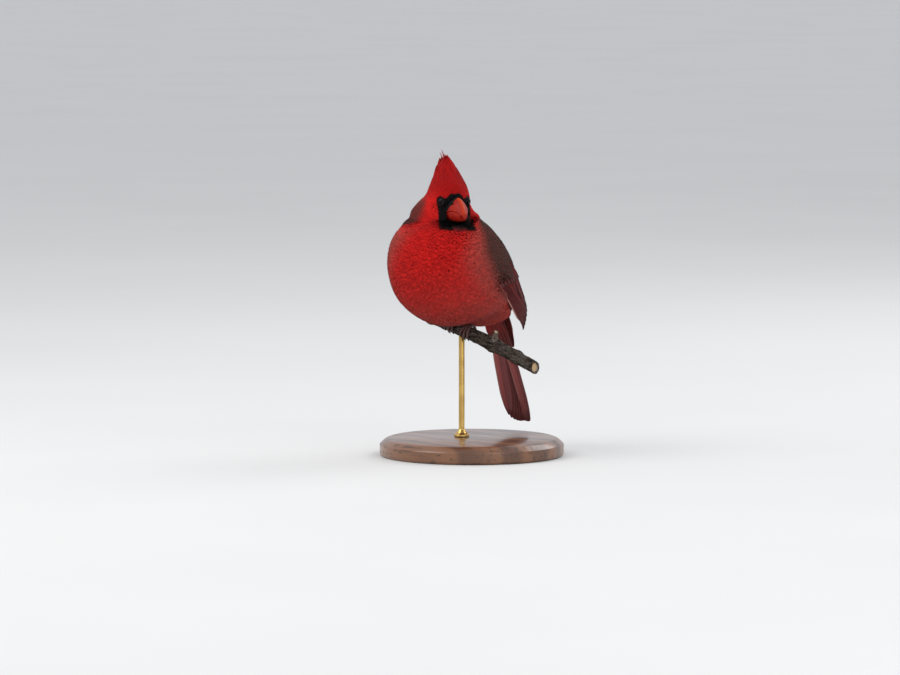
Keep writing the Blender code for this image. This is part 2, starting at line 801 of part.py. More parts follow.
def core_edges(a):
    return rows_at(WING_CORE, a)[:2]


def core_high(a, b):
    lower, upper, high = rows_at(WING_CORE, a)
    share = (b - lower) / (upper - lower)
    edge = smooth(min(share, 1.0 - share) * 4.0)
    return WING_CORE_EDGE + (high - WING_CORE_EDGE) * edge


def flight_vanes():
    vanes = []
    for i, (tip_a, tip_b) in enumerate(PRIMARY_TIPS):
        h = LOWEST_VANE + i * LAYER
        path = [(0.006 + 0.0008 * i, -0.0040 + 0.0005 * i, 0.0012), (0.035, -0.0045 + 0.0006 * i, h),
                (0.070, -0.0042 + 0.0010 * i, h), (tip_a, tip_b, h)]
        vanes.append(wing_vane(path, PRIMARY_HALF_WIDTH))
    for j in range(SECONDARY_COUNT):
        h = LOWEST_VANE + (len(PRIMARY_TIPS) + j) * LAYER
        path = [(0.012, 0.001 + 0.0016 * j, 0.0020), (0.040, 0.002 + 0.0014 * j, h),
                (0.079 - 0.0005 * j, 0.0052 + 0.0010 * j, h)]
        vanes.append(wing_vane(path, SECONDARY_HALF_WIDTH))
    for k, (tip_a, tip_b) in enumerate(TERTIAL_TIPS):
        h = LOWEST_VANE + (len(PRIMARY_TIPS) + SECONDARY_COUNT + k) * LAYER
        path = [(0.014, 0.009 + 0.002 * k, 0.0022), (0.035, 0.0095 + 0.0018 * k, h), (tip_a, tip_b, h)]
        vanes.append(wing_vane(path, TERTIAL_HALF_WIDTH))
    return vanes


def covert_vanes():
    vanes = []
    for k in range(7):
        b = -0.0058 + 0.0035 * k
        path = [(0.012, b, 0.0024), (0.0375 - 0.0002 * k, b * 0.96 + 0.0005, wing_top(b) + 0.0006)]
        vanes.append(wing_vane(path, 0.0029, flight=False))
    for k in range(6):
        b = -0.0055 + 0.0040 * k
        under = 0.0024 + (wing_top(b) - 0.0019) * 0.46
        path = [(0.002, b, 0.0020), (0.0235, b, under + 0.0007)]
        vanes.append(wing_vane(path, 0.0030, flight=False))
    for k in range(2):
        path = [(0.010, -0.0072 + 0.0009 * k, 0.0018),
                (0.038 + 0.003 * k, -0.0074 + 0.0011 * k, 0.0028 + 0.0004 * k)]
        vanes.append(wing_vane(path, 0.0019, flight=False))
    vanes.append(wing_vane([(0.0055, -0.0078, 0.0016), (0.0270, -0.0080, 0.0032)], 0.0021, flight=False))
    return vanes


def wing_pieces():
    core = slab([row[0] for row in WING_CORE], core_edges, lambda a, b: 0.0, core_high)
    return [core] + flight_vanes() + covert_vanes()


def build_wings():
    pieces = wing_pieces()
    left = fuse("wing_left", pieces)
    right = mesh_object("wing_right", mirrored(([tuple(v.co) for v in left.data.vertices],
                                               [tuple(p.vertices) for p in left.data.polygons])))
    return left, right


# Tail

def tail_axes():
    a = math.radians(TAIL_SLOPE)
    down = np.array([0.0, math.cos(a), -math.sin(a)])
    back = np.array([0.0, math.sin(a), math.cos(a)])
    return down, np.array([1.0, 0.0, 0.0]), back


TAIL_D, TAIL_X, TAIL_N = tail_axes()


def tail_point(s, x, n):
    return np.array(TAIL_FROM) + TAIL_D * s + TAIL_X * x + TAIL_N * (n - x * x / (2.0 * TAIL_ARCH))


def tail_normal(s, x):
    return unit(TAIL_N + TAIL_X * x / TAIL_ARCH)


def build_tail():
    rings = [body_ring(0.0, TAIL_CORE_SIDES, shift=-GAP)]
    for s, half, depth, middle in TAIL_CORE:
        ring = []
        for k in range(TAIL_CORE_SIDES):
            phi = 2.0 * math.pi * k / TAIL_CORE_SIDES
            ring.append(tail_point(s, half * math.sin(phi), middle - depth * math.cos(phi)))
        rings.append(ring)
    pieces = [loft(rings)]
    layer = 0
    for i in range(6):
        for side in (1.0, -1.0):
            n = TAIL_STACK_TOP - layer * LAYER
            spread = TAIL_SPREAD[i] * side
            path = [(TAIL_ROOT, spread * 0.42, -0.0008), (0.042, spread * 0.62, n),
                    (0.070, spread * 0.86, n), (TAIL_LENGTHS[i], spread, n)]
            pieces.append(sheet_vane(tail_point, tail_normal, path, TAIL_HALF_WIDTH))
            layer += 1
    for x in (0.0056, -0.0056, 0.0):
        reach = 0.050 - abs(x) * 0.9
        path = [(0.021, x * 0.8, -0.0046), (0.034, x, -0.0042), (reach, x * 0.96, -0.0028)]
        pieces.append(sheet_vane(tail_point, tail_normal, path, 0.0044, COVERT_SHAPE, COVERT_CUTS))
        path = [(0.021, x * 0.8, 0.0032), (0.032, x, 0.0031), (reach - 0.004, x * 0.96, 0.0023)]
        pieces.append(sheet_vane(tail_point, tail_normal, path, 0.0044, COVERT_SHAPE, COVERT_CUTS))
    return fuse("tail", pieces)


# Branch, legs and feet

def perch_at(x):
    fall = PERCH_BEND * max(0.0, x) ** 2
    return np.array([x, PERCH_Y, PERCH_Z + PERCH_SLOPE * x + fall])


def perch_radius(x):
    radius = PERCH_RADIUS - 0.0005 * smooth((x - 0.02) / 0.05)
    for at, rise, width in PERCH_KNOTS:
        radius += rise * math.exp(-((x - at) / width) ** 2)
    return radius


def leg_top(x):
    return perch_at(x)[2] + PERCH_RADIUS + GAP + HUB_HEIGHT + GAP + LEG_LENGTH


def build_perch():
    radii = [perch_radius(x) for x in PERCH_RINGS]
    pieces = [tube([perch_at(x) for x in PERCH_RINGS], radii, 12, end_tilts=(0.35, -0.4))]
    twig = perch_at(0.029)
    path = [twig, twig + (0.0045, -0.0035, 0.0062), twig + (0.0062, -0.0042, 0.0092)]
    pieces.append(tube(path, [0.0026, 0.0019, 0.0017], 8, end_tilts=(0.0, 0.3)))
    twig = perch_at(0.050)
    path = [twig, twig + (0.0040, 0.0048, -0.0044), twig + (0.0066, 0.0070, -0.0060)]
    pieces.append(tube(path, [0.0024, 0.0017, 0.0015], 8, end_tilts=(0.0, -0.3)))
    ob = fuse("perch", pieces)
    low = perch_at(ROD_AT_X) - (0.0, 0.0, PERCH_RADIUS)
    path = [low - (0.0, 0.0, 0.006), low + (0.0, 0.0, ROD_DEPTH_IN_PERCH + GAP)]
    cut(ob, tube(path, [ROD_RADIUS + GAP] * 2, 16))
    keep_largest(ob)
    return ob


def foot_frame(x):
    centre = perch_at(x)
    along = unit(perch_at(x + 0.001) - perch_at(x - 0.001))
    ahead = np.array([0.0, -1.0, 0.0])
    up = unit(np.cross(along, ahead))
    if up[2] < 0.0:
        up = -up
    return centre, along, ahead, up


def toe_piece(x, start, end, from_angle, to_angle):
    centre, along, ahead, up = foot_frame(x)
    path = []
    radii = []
    steps = 5
    sign = 1.0 if to_angle > from_angle else -1.0
    for k in range(steps + 1):
        f = k / steps
        a = math.radians(from_angle + (to_angle - from_angle) * f)
        radius = TOE_RADIUS * (1.0 - 0.22 * f) * (1.0 + 0.10 * math.cos(k * math.pi))
        out = PERCH_RADIUS + GAP + 0.0001 + TOE_RADIUS
        path.append(centre + along * (start + (end - start) * f)
                    + (up * math.cos(a) + ahead * math.sin(a)) * out)
        radii.append(radius)
    for k in (1, 2):
        a = math.radians(to_angle + sign * CLAW_ANGLE * k / 2.0)
        out = PERCH_RADIUS + GAP + 0.0001 + TOE_RADIUS * (1.0 - 0.20 * k)
        path.append(centre + along * end + (up * math.cos(a) + ahead * math.sin(a)) * out)
        radii.append(TOE_RADIUS * (0.50, 0.16)[k - 1])
    return tube(path, radii, 6)


def build_foot(name, x):
    low = perch_at(x)[2] + PERCH_RADIUS + GAP
    hub = tube([(x, PERCH_Y, low + 0.0004), (x, PERCH_Y, low + 0.0012), (x, PERCH_Y, low + HUB_HEIGHT)],
               [HUB_RADIUS * 0.8, HUB_RADIUS, LEG_LOW_RADIUS], 10)
    pieces = [hub] + [toe_piece(x, *toe) for toe in TOES]
    return fuse(name, pieces)


def build_leg(name, x):
    low = perch_at(x)[2] + PERCH_RADIUS + GAP + HUB_HEIGHT + GAP
    top = leg_top(x)
    path = [(x, PERCH_Y, low), (x, PERCH_Y, low + 0.0022), (x, PERCH_Y, top - 0.0016), (x, PERCH_Y, top)]
    radii = [LEG_LOW_RADIUS, LEG_LOW_RADIUS * 1.05, LEG_TOP_RADIUS * 0.92, LEG_TOP_RADIUS]
    return mesh_object(name, tube(path, radii, 12))


# Stand

def build_base():
    return mesh_object("stand_base", turned(BASE_PROFILE, (0.0, 0.0, 0.0), 48))


def build_rod():
    foot = np.array([ROD_AT_X + BIRD_ORIGIN[0], PERCH_Y + BIRD_ORIGIN[1], BASE_TOP + GAP])
    top = perch_at(ROD_AT_X)[2] + BIRD_ORIGIN[2] - PERCH_RADIUS + ROD_DEPTH_IN_PERCH - foot[2]
    profile = [(0.0, 0.0)] + COLLAR + [(ROD_RADIUS, 0.0050), (ROD_RADIUS, top), (0.0, top)]
    return mesh_object("stand_rod", turned(profile, foot, 16))


def paint(ob, colour, roughness, metallic=0.0):
    material = bpy.data.materials.new(ob.name + "_finish")
    material.use_nodes = True
    shader = material.node_tree.nodes["Principled BSDF"]
    shader.inputs["Base Color"].default_value = (*colour, 1.0)
    shader.inputs["Roughness"].default_value = roughness
    shader.inputs["Metallic"].default_value = metallic
    ob.data.materials.clear()
    ob.data.materials.append(material)


def build():
    for ob in list(bpy.data.objects):
        bpy.data.objects.remove(ob, do_unlink=True)
    carrier = bpy.data.objects.new("bird_origin", None)
    bpy.context.scene.collection.objects.link(carrier)
    wings = build_wings()
    upper_bill = mesh_object("bill_upper", bill_piece("upper"))
    for side in (1.0, -1.0):
        at = in_head(NOSTRIL_AT[0], NOSTRIL_AT[1] * side, NOSTRIL_AT[2])
        cut(upper_bill, ball(at, NOSTRIL_RADIUS, 8, 6, HEAD_S * side))
    keep_largest(upper_bill)
    eyes = []
    for name, side in (("eye_left", 1.0), ("eye_right", -1.0)):
        centre, look = eye_frame(side)
        eyes.append(mesh_object(name, ball(centre, EYE_RADIUS, 14, 9, look)))
    riders = [
        (build_torso(), RED, 0.85), (build_neck(), RED, 0.85), (build_head(), RED, 0.85),
        (build_crest(), CREST_RED, 0.85),
        (wings[0], WING_RED, 0.7), (wings[1], WING_RED, 0.7), (build_tail(), TAIL_RED, 0.7),
        (upper_bill, BILL_ORANGE, 0.4), (mesh_object("bill_lower", bill_piece("lower")), BILL_ORANGE, 0.4),
        (eyes[0], EYE_DARK, 0.08), (eyes[1], EYE_DARK, 0.08),
        (build_leg("leg_left", FOOT_X), LEG_BROWN, 0.6), (build_leg("leg_right", -FOOT_X), LEG_BROWN, 0.6),
        (build_foot("foot_left", FOOT_X), LEG_BROWN, 0.6),
        (build_foot("foot_right", -FOOT_X), LEG_BROWN, 0.6),
        (build_perch(), BARK, 0.9),
    ]
    for ob, colour, roughness in riders:
        paint(ob, colour, roughness)
        ob.parent = carrier
    carrier.location = BIRD_ORIGIN
    paint(build_base(), WALNUT, 0.35)
    paint(build_rod(), BRASS, 0.3, 1.0)


build()
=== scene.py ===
# %% [markdown]
# # A northern cardinal on a display stand
# A male cardinal sits fluffed up on a cut length of branch, as in winter, and a small
# stand carries the branch.  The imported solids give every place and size, and this script
# dresses them: one skin under the plumage, thousands of small feathers, the long feathers
# of wings, tail and crest, the bill, the eyes, the feet, the bark and the stand.

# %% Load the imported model
import math
import random

import bpy
import numpy as np
from mathutils import Matrix, Vector, noise
from mathutils.kdtree import KDTree


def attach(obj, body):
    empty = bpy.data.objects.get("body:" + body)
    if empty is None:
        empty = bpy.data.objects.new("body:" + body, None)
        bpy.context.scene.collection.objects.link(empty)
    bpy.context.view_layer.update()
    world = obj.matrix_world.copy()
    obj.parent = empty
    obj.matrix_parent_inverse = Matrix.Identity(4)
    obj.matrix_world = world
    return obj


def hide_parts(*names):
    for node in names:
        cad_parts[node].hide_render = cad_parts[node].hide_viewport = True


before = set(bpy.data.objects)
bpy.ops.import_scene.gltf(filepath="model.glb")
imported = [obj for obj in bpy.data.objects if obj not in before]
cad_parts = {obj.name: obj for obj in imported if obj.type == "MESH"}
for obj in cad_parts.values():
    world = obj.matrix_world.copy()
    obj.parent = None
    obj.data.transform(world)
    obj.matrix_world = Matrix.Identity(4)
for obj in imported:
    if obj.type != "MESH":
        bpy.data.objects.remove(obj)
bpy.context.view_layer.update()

MM = 0.001

# %% [markdown]
# Every step works on one object at a time, as a person does at the screen.  The packed
# solids are all selected after loading, so a helper first clears that, then others open
# and close edit mode.  A shape that follows a formula starts as a flat grid, whose two
# directions are the shape's own: it is bent into place, sewn along its seam and capped.
# The grid keeps its flat map, which is then a true unwrap of the finished surface.

# %% Selecting, editing and bending a grid
def only(piece):
    if bpy.context.mode != "OBJECT":
        bpy.ops.object.mode_set(mode="OBJECT")
    bpy.ops.object.select_all(action="DESELECT")
    if piece is not None:
        piece.select_set(True)
        bpy.context.view_layer.objects.active = piece


def edit(piece):
    only(piece)
    bpy.ops.object.mode_set(mode="EDIT")
    bpy.ops.mesh.select_mode(type="VERT")
    bpy.ops.mesh.select_all(action="SELECT")


def leave_edit():
    bpy.ops.object.mode_set(mode="OBJECT")


def points_of(piece):
    flat = np.empty(3 * len(piece.data.vertices))
    piece.data.vertices.foreach_get("co", flat)
    return flat.reshape(-1, 3)


def set_points(piece, points):
    piece.data.vertices.foreach_set("co", np.ascontiguousarray(points, dtype=float).ravel())
    piece.data.update()


def put_numbers(piece, name, values):
    made = piece.data.attributes.new(name, "FLOAT", "POINT")
    made.data.foreach_set("value", np.ascontiguousarray(values, dtype=np.float32))


def numbers_of(piece, name):
    values = np.empty(len(piece.data.vertices), dtype=np.float32)
    piece.data.attributes[name].data.foreach_get("value", values)
    return values.astype(float)


def bent_grid(name, columns, rows, place, closed=True):
    only(None)
    bpy.ops.mesh.primitive_grid_add(x_subdivisions=columns, y_subdivisions=rows, size=1.0, calc_uvs=True)
    piece = bpy.context.object
    piece.name = name
    flat = points_of(piece) + 0.5
    put_numbers(piece, "across", flat[:, 0])
    put_numbers(piece, "along", flat[:, 1])
    set_points(piece, place(flat[:, 0], flat[:, 1]))
    edit(piece)
    if closed:
        bpy.ops.mesh.remove_doubles(threshold=0.000002)
        bpy.ops.mesh.fill_holes(sides=0)
        bpy.ops.mesh.normals_make_consistent(inside=False)
    leave_edit()
    bpy.ops.object.shade_smooth()
    return piece


def finish_with(piece, kind, **settings):
    only(piece)
    modifier = piece.modifiers.new(kind.lower(), kind)
    for key, value in settings.items():
        setattr(modifier, key, value)
    bpy.ops.object.modifier_apply(modifier=modifier.name)


def belongs(piece, slot, *nodes):
    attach(piece, "root")
    if nodes:
        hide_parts(*nodes)
    piece.data.update()
    print(piece.name, "faces", len(piece.data.polygons))


# %% [markdown]
# Materials are small node trees.  One helper starts each with its plain values set on
# the shader's own sockets, others add nodes and mix colours.  Colours are given as they
# look on a screen and are turned into the linear values that Blender mixes.

# %% Building a finish from nodes
def shade(red, green, blue):
    def linear(value):
        value = value / 255.0
        return value / 12.92 if value <= 0.04045 else ((value + 0.055) / 1.055) ** 2.4
    return (linear(red), linear(green), linear(blue), 1.0)


class Finish:
    def __init__(self, name, roughness, **sockets):
        self.material = bpy.data.materials.new(name)
        self.material.use_nodes = True
        self.tree = self.material.node_tree
        self.shader = self.tree.nodes["Principled BSDF"]
        self.shader.inputs["Roughness"].default_value = roughness
        for key, value in sockets.items():
            self.shader.inputs[key.replace("_", " ")].default_value = value

    def node(self, kind, inputs=(), **settings):
        made = self.tree.nodes.new("ShaderNode" + kind)
        for key, value in settings.items():
            setattr(made, key, value)
        for key, value in dict(inputs).items():
            self.put(made, key, value)
        return made

    def put(self, node, key, value):
        if isinstance(value, bpy.types.NodeSocket):
            self.tree.links.new(value, node.inputs[key])
        else:
            node.inputs[key].default_value = value

    def attribute(self, name):
        return self.node("Attribute", attribute_name=name).outputs["Fac"]

    def place(self):
        return self.node("TexCoord").outputs["Object"]

    def flat_map(self, name, axis):
        split = self.node("SeparateXYZ", {0: self.node("UVMap", uv_map=name).outputs["UV"]})
        return split.outputs[axis]

    def math(self, operation, first, second=0.0, third=0.0):
        made = self.node("Math", {0: first, 1: second, 2: third}, operation=operation)
        return made.outputs[0]

    def ramp(self, value, low, high, from_value=0.0, to_value=1.0):
        made = self.node("MapRange", {0: value, 1: low, 2: high, 3: from_value, 4: to_value},
                         interpolation_type="SMOOTHSTEP")
        return made.outputs[0]

    def noise(self, scale, detail=3.0, vector=None, stretch=(1.0, 1.0, 1.0), roughness=0.55):
        mapping = self.node("Mapping", {"Vector": vector or self.place(), "Scale": stretch})
        made = self.node("TexNoise", {"Vector": mapping.outputs[0], "Scale": scale, "Detail": detail,
                                      "Roughness": roughness})
        return made.outputs["Fac"]

    def mix(self, factor, first, second, blend="MIX"):
        made = self.node("Mix", data_type="RGBA", blend_type=blend)
        made.clamp_factor = True
        for index, value in ((0, factor), (6, first), (7, second)):
            self.put(made, index, value)
        return made.outputs[2]

    def colour(self, value):
        self.put(self.shader, "Base Color", value)

    def roughness(self, value):
        self.put(self.shader, "Roughness", value)

    def bump(self, height, depth, strength=1.0):
        made = self.node("Bump", {"Height": height, "Distance": depth, "Strength": strength})
        self.put(self.shader, "Normal", made.outputs[0])

    def on(self, *pieces):
        for piece in pieces:
            piece.data.materials.clear()
            piece.data.materials.append(self.material)


# %% [markdown]
# The photograph is taken from the bird's left front, almost level, with a long lens.
# The camera is set so that one image point is the same length as there at the bird.
# Soft panels stand left, right and behind, and the floor runs so far that no edge shows.

# %% Camera, floor and light
IMAGE_WIDTH = 900
IMAGE_HEIGHT = 675
POINT_SIZE = 0.68 * MM
VIEW_TURN = math.radians(42.0)
VIEW_RISE = math.radians(5.0)
VIEW_DISTANCE = 3.5
BIRD_IN_IMAGE = (445.0, 272.0)
BIRD_ORIGIN = np.array((-0.008, -0.0185, 0.126))
SENSOR = 36.0

camera_back = Vector((math.sin(VIEW_TURN) * math.cos(VIEW_RISE), -math.cos(VIEW_TURN) * math.cos(VIEW_RISE),
                      math.sin(VIEW_RISE)))
camera_right = Vector((math.cos(VIEW_TURN), math.sin(VIEW_TURN), 0.0))
camera_up = camera_back.cross(camera_right)
aim = Vector(BIRD_ORIGIN) + camera_right * (IMAGE_WIDTH / 2 - BIRD_IN_IMAGE[0]) * POINT_SIZE
aim -= camera_up * (IMAGE_HEIGHT / 2 - BIRD_IN_IMAGE[1]) * POINT_SIZE
only(None)
bpy.ops.object.camera_add(location=aim + camera_back * VIEW_DISTANCE)
camera = bpy.context.object
camera.name = "museum_camera"
camera.rotation_mode = "QUATERNION"
camera.rotation_quaternion = (-camera_back).to_track_quat("-Z", "Y")
camera.data.sensor_width = SENSOR
camera.data.lens = SENSOR * VIEW_DISTANCE / (IMAGE_WIDTH * POINT_SIZE)
camera.data.clip_start = 0.05
camera.data.clip_end = 200.0
bpy.context.scene.camera = camera
bpy.context.scene.view_settings.view_transform = "Standard"

bpy.ops.mesh.primitive_circle_add(vertices=96, radius=60.0, fill_type="NGON", location=(0.0, 0.0, -0.0002))
floor = bpy.context.object
floor.name = "pale_floor"
floor_finish = Finish("pale_floor_finish", 0.85)
floor_tone = floor_finish.noise(3.0, 2.0)
floor_finish.colour(floor_finish.mix(floor_tone, shade(216, 216, 214), shade(223, 223, 221)))
floor_finish.on(floor)


def soft_panel(name, place, size, power, tint=(1.0, 1.0, 1.0)):
    bpy.ops.object.light_add(type="AREA", location=place)
    panel = bpy.context.object
    panel.name = name
    panel.data.shape = "RECTANGLE"
    panel.data.size = size[0]
    panel.data.size_y = size[1]
    panel.data.energy = power
    panel.data.color = tint
    panel.rotation_mode = "QUATERNION"
    panel.rotation_quaternion = (Vector(BIRD_ORIGIN) - Vector(place)).to_track_quat("-Z", "Y")


soft_panel("key_panel", (-0.55, -1.15, 1.30), (1.1, 1.1), 14.0, (1.0, 0.985, 0.96))
soft_panel("fill_panel", (1.55, -0.55, 0.75), (1.2, 1.0), 6.5, (0.96, 0.98, 1.0))
soft_panel("back_panel", (0.35, 1.35, 1.15), (1.2, 0.8), 9.0)
world = bpy.data.worlds.new("soft_room")
world.use_nodes = True
world.node_tree.nodes["Background"].inputs["Color"].default_value = (0.93, 0.95, 1.0, 1.0)
world.node_tree.nodes["Background"].inputs["Strength"].default_value = 0.78
bpy.context.scene.world = world
print("lens mm", round(camera.data.lens, 1))

# %% [markdown]
# The plumage lies over a body whose every cross-section is a rounded ring.  The rings run
# from the root of the tail, through belly, breast and neck, and turn with the head up to
# the tip of the crest.  One number, here called level, says how far up the rings a place
# is, and an angle says where it is on the ring: 0 at the belly and face, 180 at the back.
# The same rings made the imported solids, so skin and feathers lie where those are.

# %% Rings of the body
# Torso rings: belly y, belly z, back y, back z, half width, turn in degrees
TORSO_RINGS = [
    (0.0450, -0.0345, 0.0570, -0.0275, 0.0140, 0.0),
    (0.0350, -0.0395, 0.0550, -0.0160, 0.0232, 0.0),
    (0.0160, -0.0368, 0.0515, -0.0050, 0.0285, 0.0),
    (-0.0030, -0.0370, 0.0475, 0.0050, 0.0343, 0.0),
    (-0.0203, -0.0298, 0.0420, 0.0150, 0.0380, 0.0),
    (-0.0328, -0.0183, 0.0360, 0.0240, 0.0392, 0.0),
    (-0.0392, -0.0003, 0.0315, 0.0290, 0.0380, 0.0),
    (-0.0385, 0.0160, 0.0275, 0.0335, 0.0346, 12.0),
    (-0.0320, 0.0290, 0.0230, 0.0372, 0.0280, 28.0),
]
# Head rings: height, front, back, half width, turn, share of the head's tilt,
# narrowing to the front, swell of the nape
HEAD_RINGS = [
    (-0.0095, 0.0235, -0.0165, 0.0180, 46.0, 0.15, 0.00, 0.71),
    (-0.0055, 0.0185, -0.0175, 0.0158, 55.0, 0.50, 0.04, 0.68),
    (-0.0010, 0.0146, -0.0181, 0.0149, 61.0, 0.90, 0.10, 0.37),
    (0.0040, 0.0130, -0.0175, 0.0144, 63.0, 1.00, 0.12, 0.09),
    (0.0100, 0.0100, -0.0178, 0.0131, 63.0, 1.00, 0.08, 0.0),
    (0.0160, 0.0052, -0.0180, 0.0103, 63.0, 1.00, 0.0, 0.0),
    (0.0220, -0.0012, -0.0183, 0.0070, 63.0, 1.00, 0.0, 0.0),
    (0.0275, -0.0080, -0.0180, 0.0037, 63.0, 1.00, 0.0, 0.0),
    (0.0320, -0.0130, -0.0175, 0.0012, 63.0, 1.00, 0.0, 0.0),
]
HEAD_CENTRE = np.array((0.003, 0.002, 0.047))
HEAD_TURN = 63.0
HEAD_NOD = -8.0
SWELL_ANGLE = math.radians(-115.0)
SWELL_WAVE = 1.3
UP = np.array((0.0, 0.0, 1.0))


def unit(v):
    v = np.asarray(v, float)
    return v / np.maximum(np.linalg.norm(v, axis=-1, keepdims=True), 1e-12)


def ease(low, high, value):
    share = np.clip((np.asarray(value, float) - low) / (high - low), 0.0, 1.0)
    return share * share * (3.0 - 2.0 * share)


def head_axes(turn, nod):
    a = math.radians(turn)
    p = math.radians(nod)
    forward = np.array([math.sin(a) * math.cos(p), -math.cos(a) * math.cos(p), math.sin(p)])
    side = np.array([math.cos(a), math.sin(a), 0.0])
    return forward, side, np.cross(side, forward)


HEAD_F, HEAD_S, HEAD_U = head_axes(HEAD_TURN, HEAD_NOD)
if HEAD_U[2] < 0.0:
    HEAD_U = -HEAD_U


def ring_rows():
    rows = []
    for belly_y, belly_z, back_y, back_z, width, turn in TORSO_RINGS:
        front = np.array([0.0, belly_y, belly_z])
        back = np.array([0.0, back_y, back_z])
        depth = np.linalg.norm(front - back) / 2.0
        ahead = (front - back) / (2.0 * depth)
        across = np.array([1.0, 0.0, 0.0])
        q = math.radians(turn)
        rows.append(np.concatenate([(front + back) / 2.0,
                                    depth * math.cos(q) * ahead + width * math.sin(q) * across,
                                    width * math.cos(q) * across - depth * math.sin(q) * ahead, [0.0, 0.0]]))
    last = TORSO_RINGS[-1]
    body_up = unit((0.0, last[1] - last[3], last[2] - last[0]))
    for height, front, back, width, turn, share, narrow, swell in HEAD_RINGS:
        plane = unit(body_up * (1.0 - share) + HEAD_U * share)
        f, s = [axis - UP * np.dot(plane, axis) / plane[2] for axis in head_axes(turn, 0.0)[:2]]
        centre = HEAD_CENTRE + plane * height + f * (front + back) / 2.0
        rows.append(np.concatenate([centre, f * (front - back) / 2.0, s * width, [narrow, swell]]))
    rows = np.array(rows)
    return np.vstack([2.0 * rows[0] - rows[1], rows, 2.0 * rows[-1] - rows[-2]])


RINGS = ring_rows()
TOP_LEVEL = len(RINGS) - 3.0


def ring_at(level):
    held = np.clip(level, 0.0, TOP_LEVEL - 1e-6)
    i = held.astype(int)
    u = (held - i)[:, None]
    p0, p1, p2, p3 = RINGS[i], RINGS[i + 1], RINGS[i + 2], RINGS[i + 3]
    slope = 0.5 * (p2 - p0 + 2.0 * (2.0 * p0 - 5.0 * p1 + 4.0 * p2 - p3) * u
                   + 3.0 * (3.0 * p1 - p0 - 3.0 * p2 + p3) * u ** 2)
    row = 0.5 * (2.0 * p1 + (p2 - p0) * u + (2.0 * p0 - 5.0 * p1 + 4.0 * p2 - p3) * u ** 2
                 + (3.0 * p1 - p0 - 3.0 * p2 + p3) * u ** 3)
    return row + (level - held)[:, None] * slope


def body_at(level, angle, inset=0.0):
    row = ring_at(level)
    cos, sin = np.cos(angle)[:, None], np.sin(angle)[:, None]
    away = (angle - SWELL_ANGLE + math.pi) % (2.0 * math.pi) - math.pi
    wave = np.where(np.abs(away) * SWELL_WAVE > math.pi / 2.0, 0.0, np.cos(away * SWELL_WAVE) ** 2)[:, None]
    out = cos * row[:, 3:6] + sin * (1.0 - row[:, 9:10] * cos) * row[:, 6:9]
    out = out * (1.0 + row[:, 10:11] * wave)
    reach = np.linalg.norm(out, axis=1, keepdims=True)
    held = np.minimum(np.reshape(inset, (-1, 1)) if np.ndim(inset) else inset, 0.7 * reach)
    return row[:, 0:3] + out * (1.0 - held / reach)


def body_frame(level, angle):
    step = 1e-3
    up = (body_at(level + step, angle) - body_at(level - step, angle)) / (2.0 * step)
    round_ = (body_at(level, angle + step) - body_at(level, angle - step)) / (2.0 * step)
    normal = unit(np.cross(round_, up))
    centre = ring_at(level)[:, 0:3]
    outward = np.sum(normal * (body_at(level, angle) - centre), axis=1, keepdims=True)
    return up, round_, normal * np.where(outward < 0.0, -1.0, 1.0)


def in_head(forward, side, up):
    return HEAD_CENTRE + HEAD_F * forward + HEAD_S * side + HEAD_U * up


def head_place(points):
    off = points - HEAD_CENTRE
    return off @ HEAD_F, off @ HEAD_S, off @ HEAD_U


print("rings", len(RINGS) - 2, "crest tip mm", np.round(body_at(np.array([16.9]), np.array([0.0]))[0] / MM, 1))

# %% [markdown]
# The wing is a sheet that arches over the flank, and the tail a flat fan of feathers.
# Each has directions of its own: along the wing from wrist to tip, across it towards the
# back, and out of it.  Places on them are turned into places in space by one function each.

# %% The folded wing's sheet and the tail's directions
WING_WRIST = np.array((0.031, -0.010, 0.012))
WING_TIP = np.array((0.014, 0.068, -0.040))
WING_OUT = np.array((0.902, 0.358, 0.242))
SHEET_LEVEL = 0.0120
SHEET_TOP_A = 0.023
SHEET_TOP_B = 0.009
SHEET_RADIUS_A = 0.085
SHEET_RADIUS_B = 0.045
SHEET_STRAIGHT_FROM = 0.037
SHEET_CURL_FROM = 0.076
SHEET_CURL_RADIUS = 0.050
WING_A = unit(WING_TIP - WING_WRIST)
WING_H = unit(WING_OUT - WING_A * np.dot(WING_OUT, WING_A))
WING_B = np.cross(WING_H, WING_A)


def sheet_height(a, b):
    near = np.minimum(a, SHEET_STRAIGHT_FROM)
    height = SHEET_LEVEL - (near - SHEET_TOP_A) ** 2 / (2.0 * SHEET_RADIUS_A)
    height = height - (b - SHEET_TOP_B) ** 2 / (2.0 * SHEET_RADIUS_B)
    past = np.maximum(a - SHEET_STRAIGHT_FROM, 0.0)
    height = height - np.maximum(a - SHEET_CURL_FROM, 0.0) ** 2 / (2.0 * SHEET_CURL_RADIUS)
    return height - past * (SHEET_STRAIGHT_FROM - SHEET_TOP_A) / SHEET_RADIUS_A


def wing_at(a, b, h):
    thinning = 1.0 - 0.72 * ease(0.008, 0.022, b)
    height = sheet_height(a, b) + h * thinning
    return WING_WRIST + np.outer(a, WING_A) + np.outer(b, WING_B) + np.outer(height, WING_H)


def wing_place(points):
    off = points - WING_WRIST
    a, b = off @ WING_A, off @ WING_B
    return a, b, off @ WING_H - sheet_height(a, b)


PANEL_FRONT = 0.0356
PANEL_SLANT = 1.0
PANEL_LOW = -0.0070
PANEL_HIGH = 0.0150
SWELL = 0.0036


def wing_panel(a, b, before, soft):
    """How far places lie in the part of the wing that the body's feathers leave bare."""
    past = a - PANEL_FRONT - PANEL_SLANT * b + before
    return ease(0.0, soft, past) * ease(PANEL_LOW - soft, PANEL_LOW, b) * (1.0 - ease(PANEL_HIGH, PANEL_HIGH + soft, b))


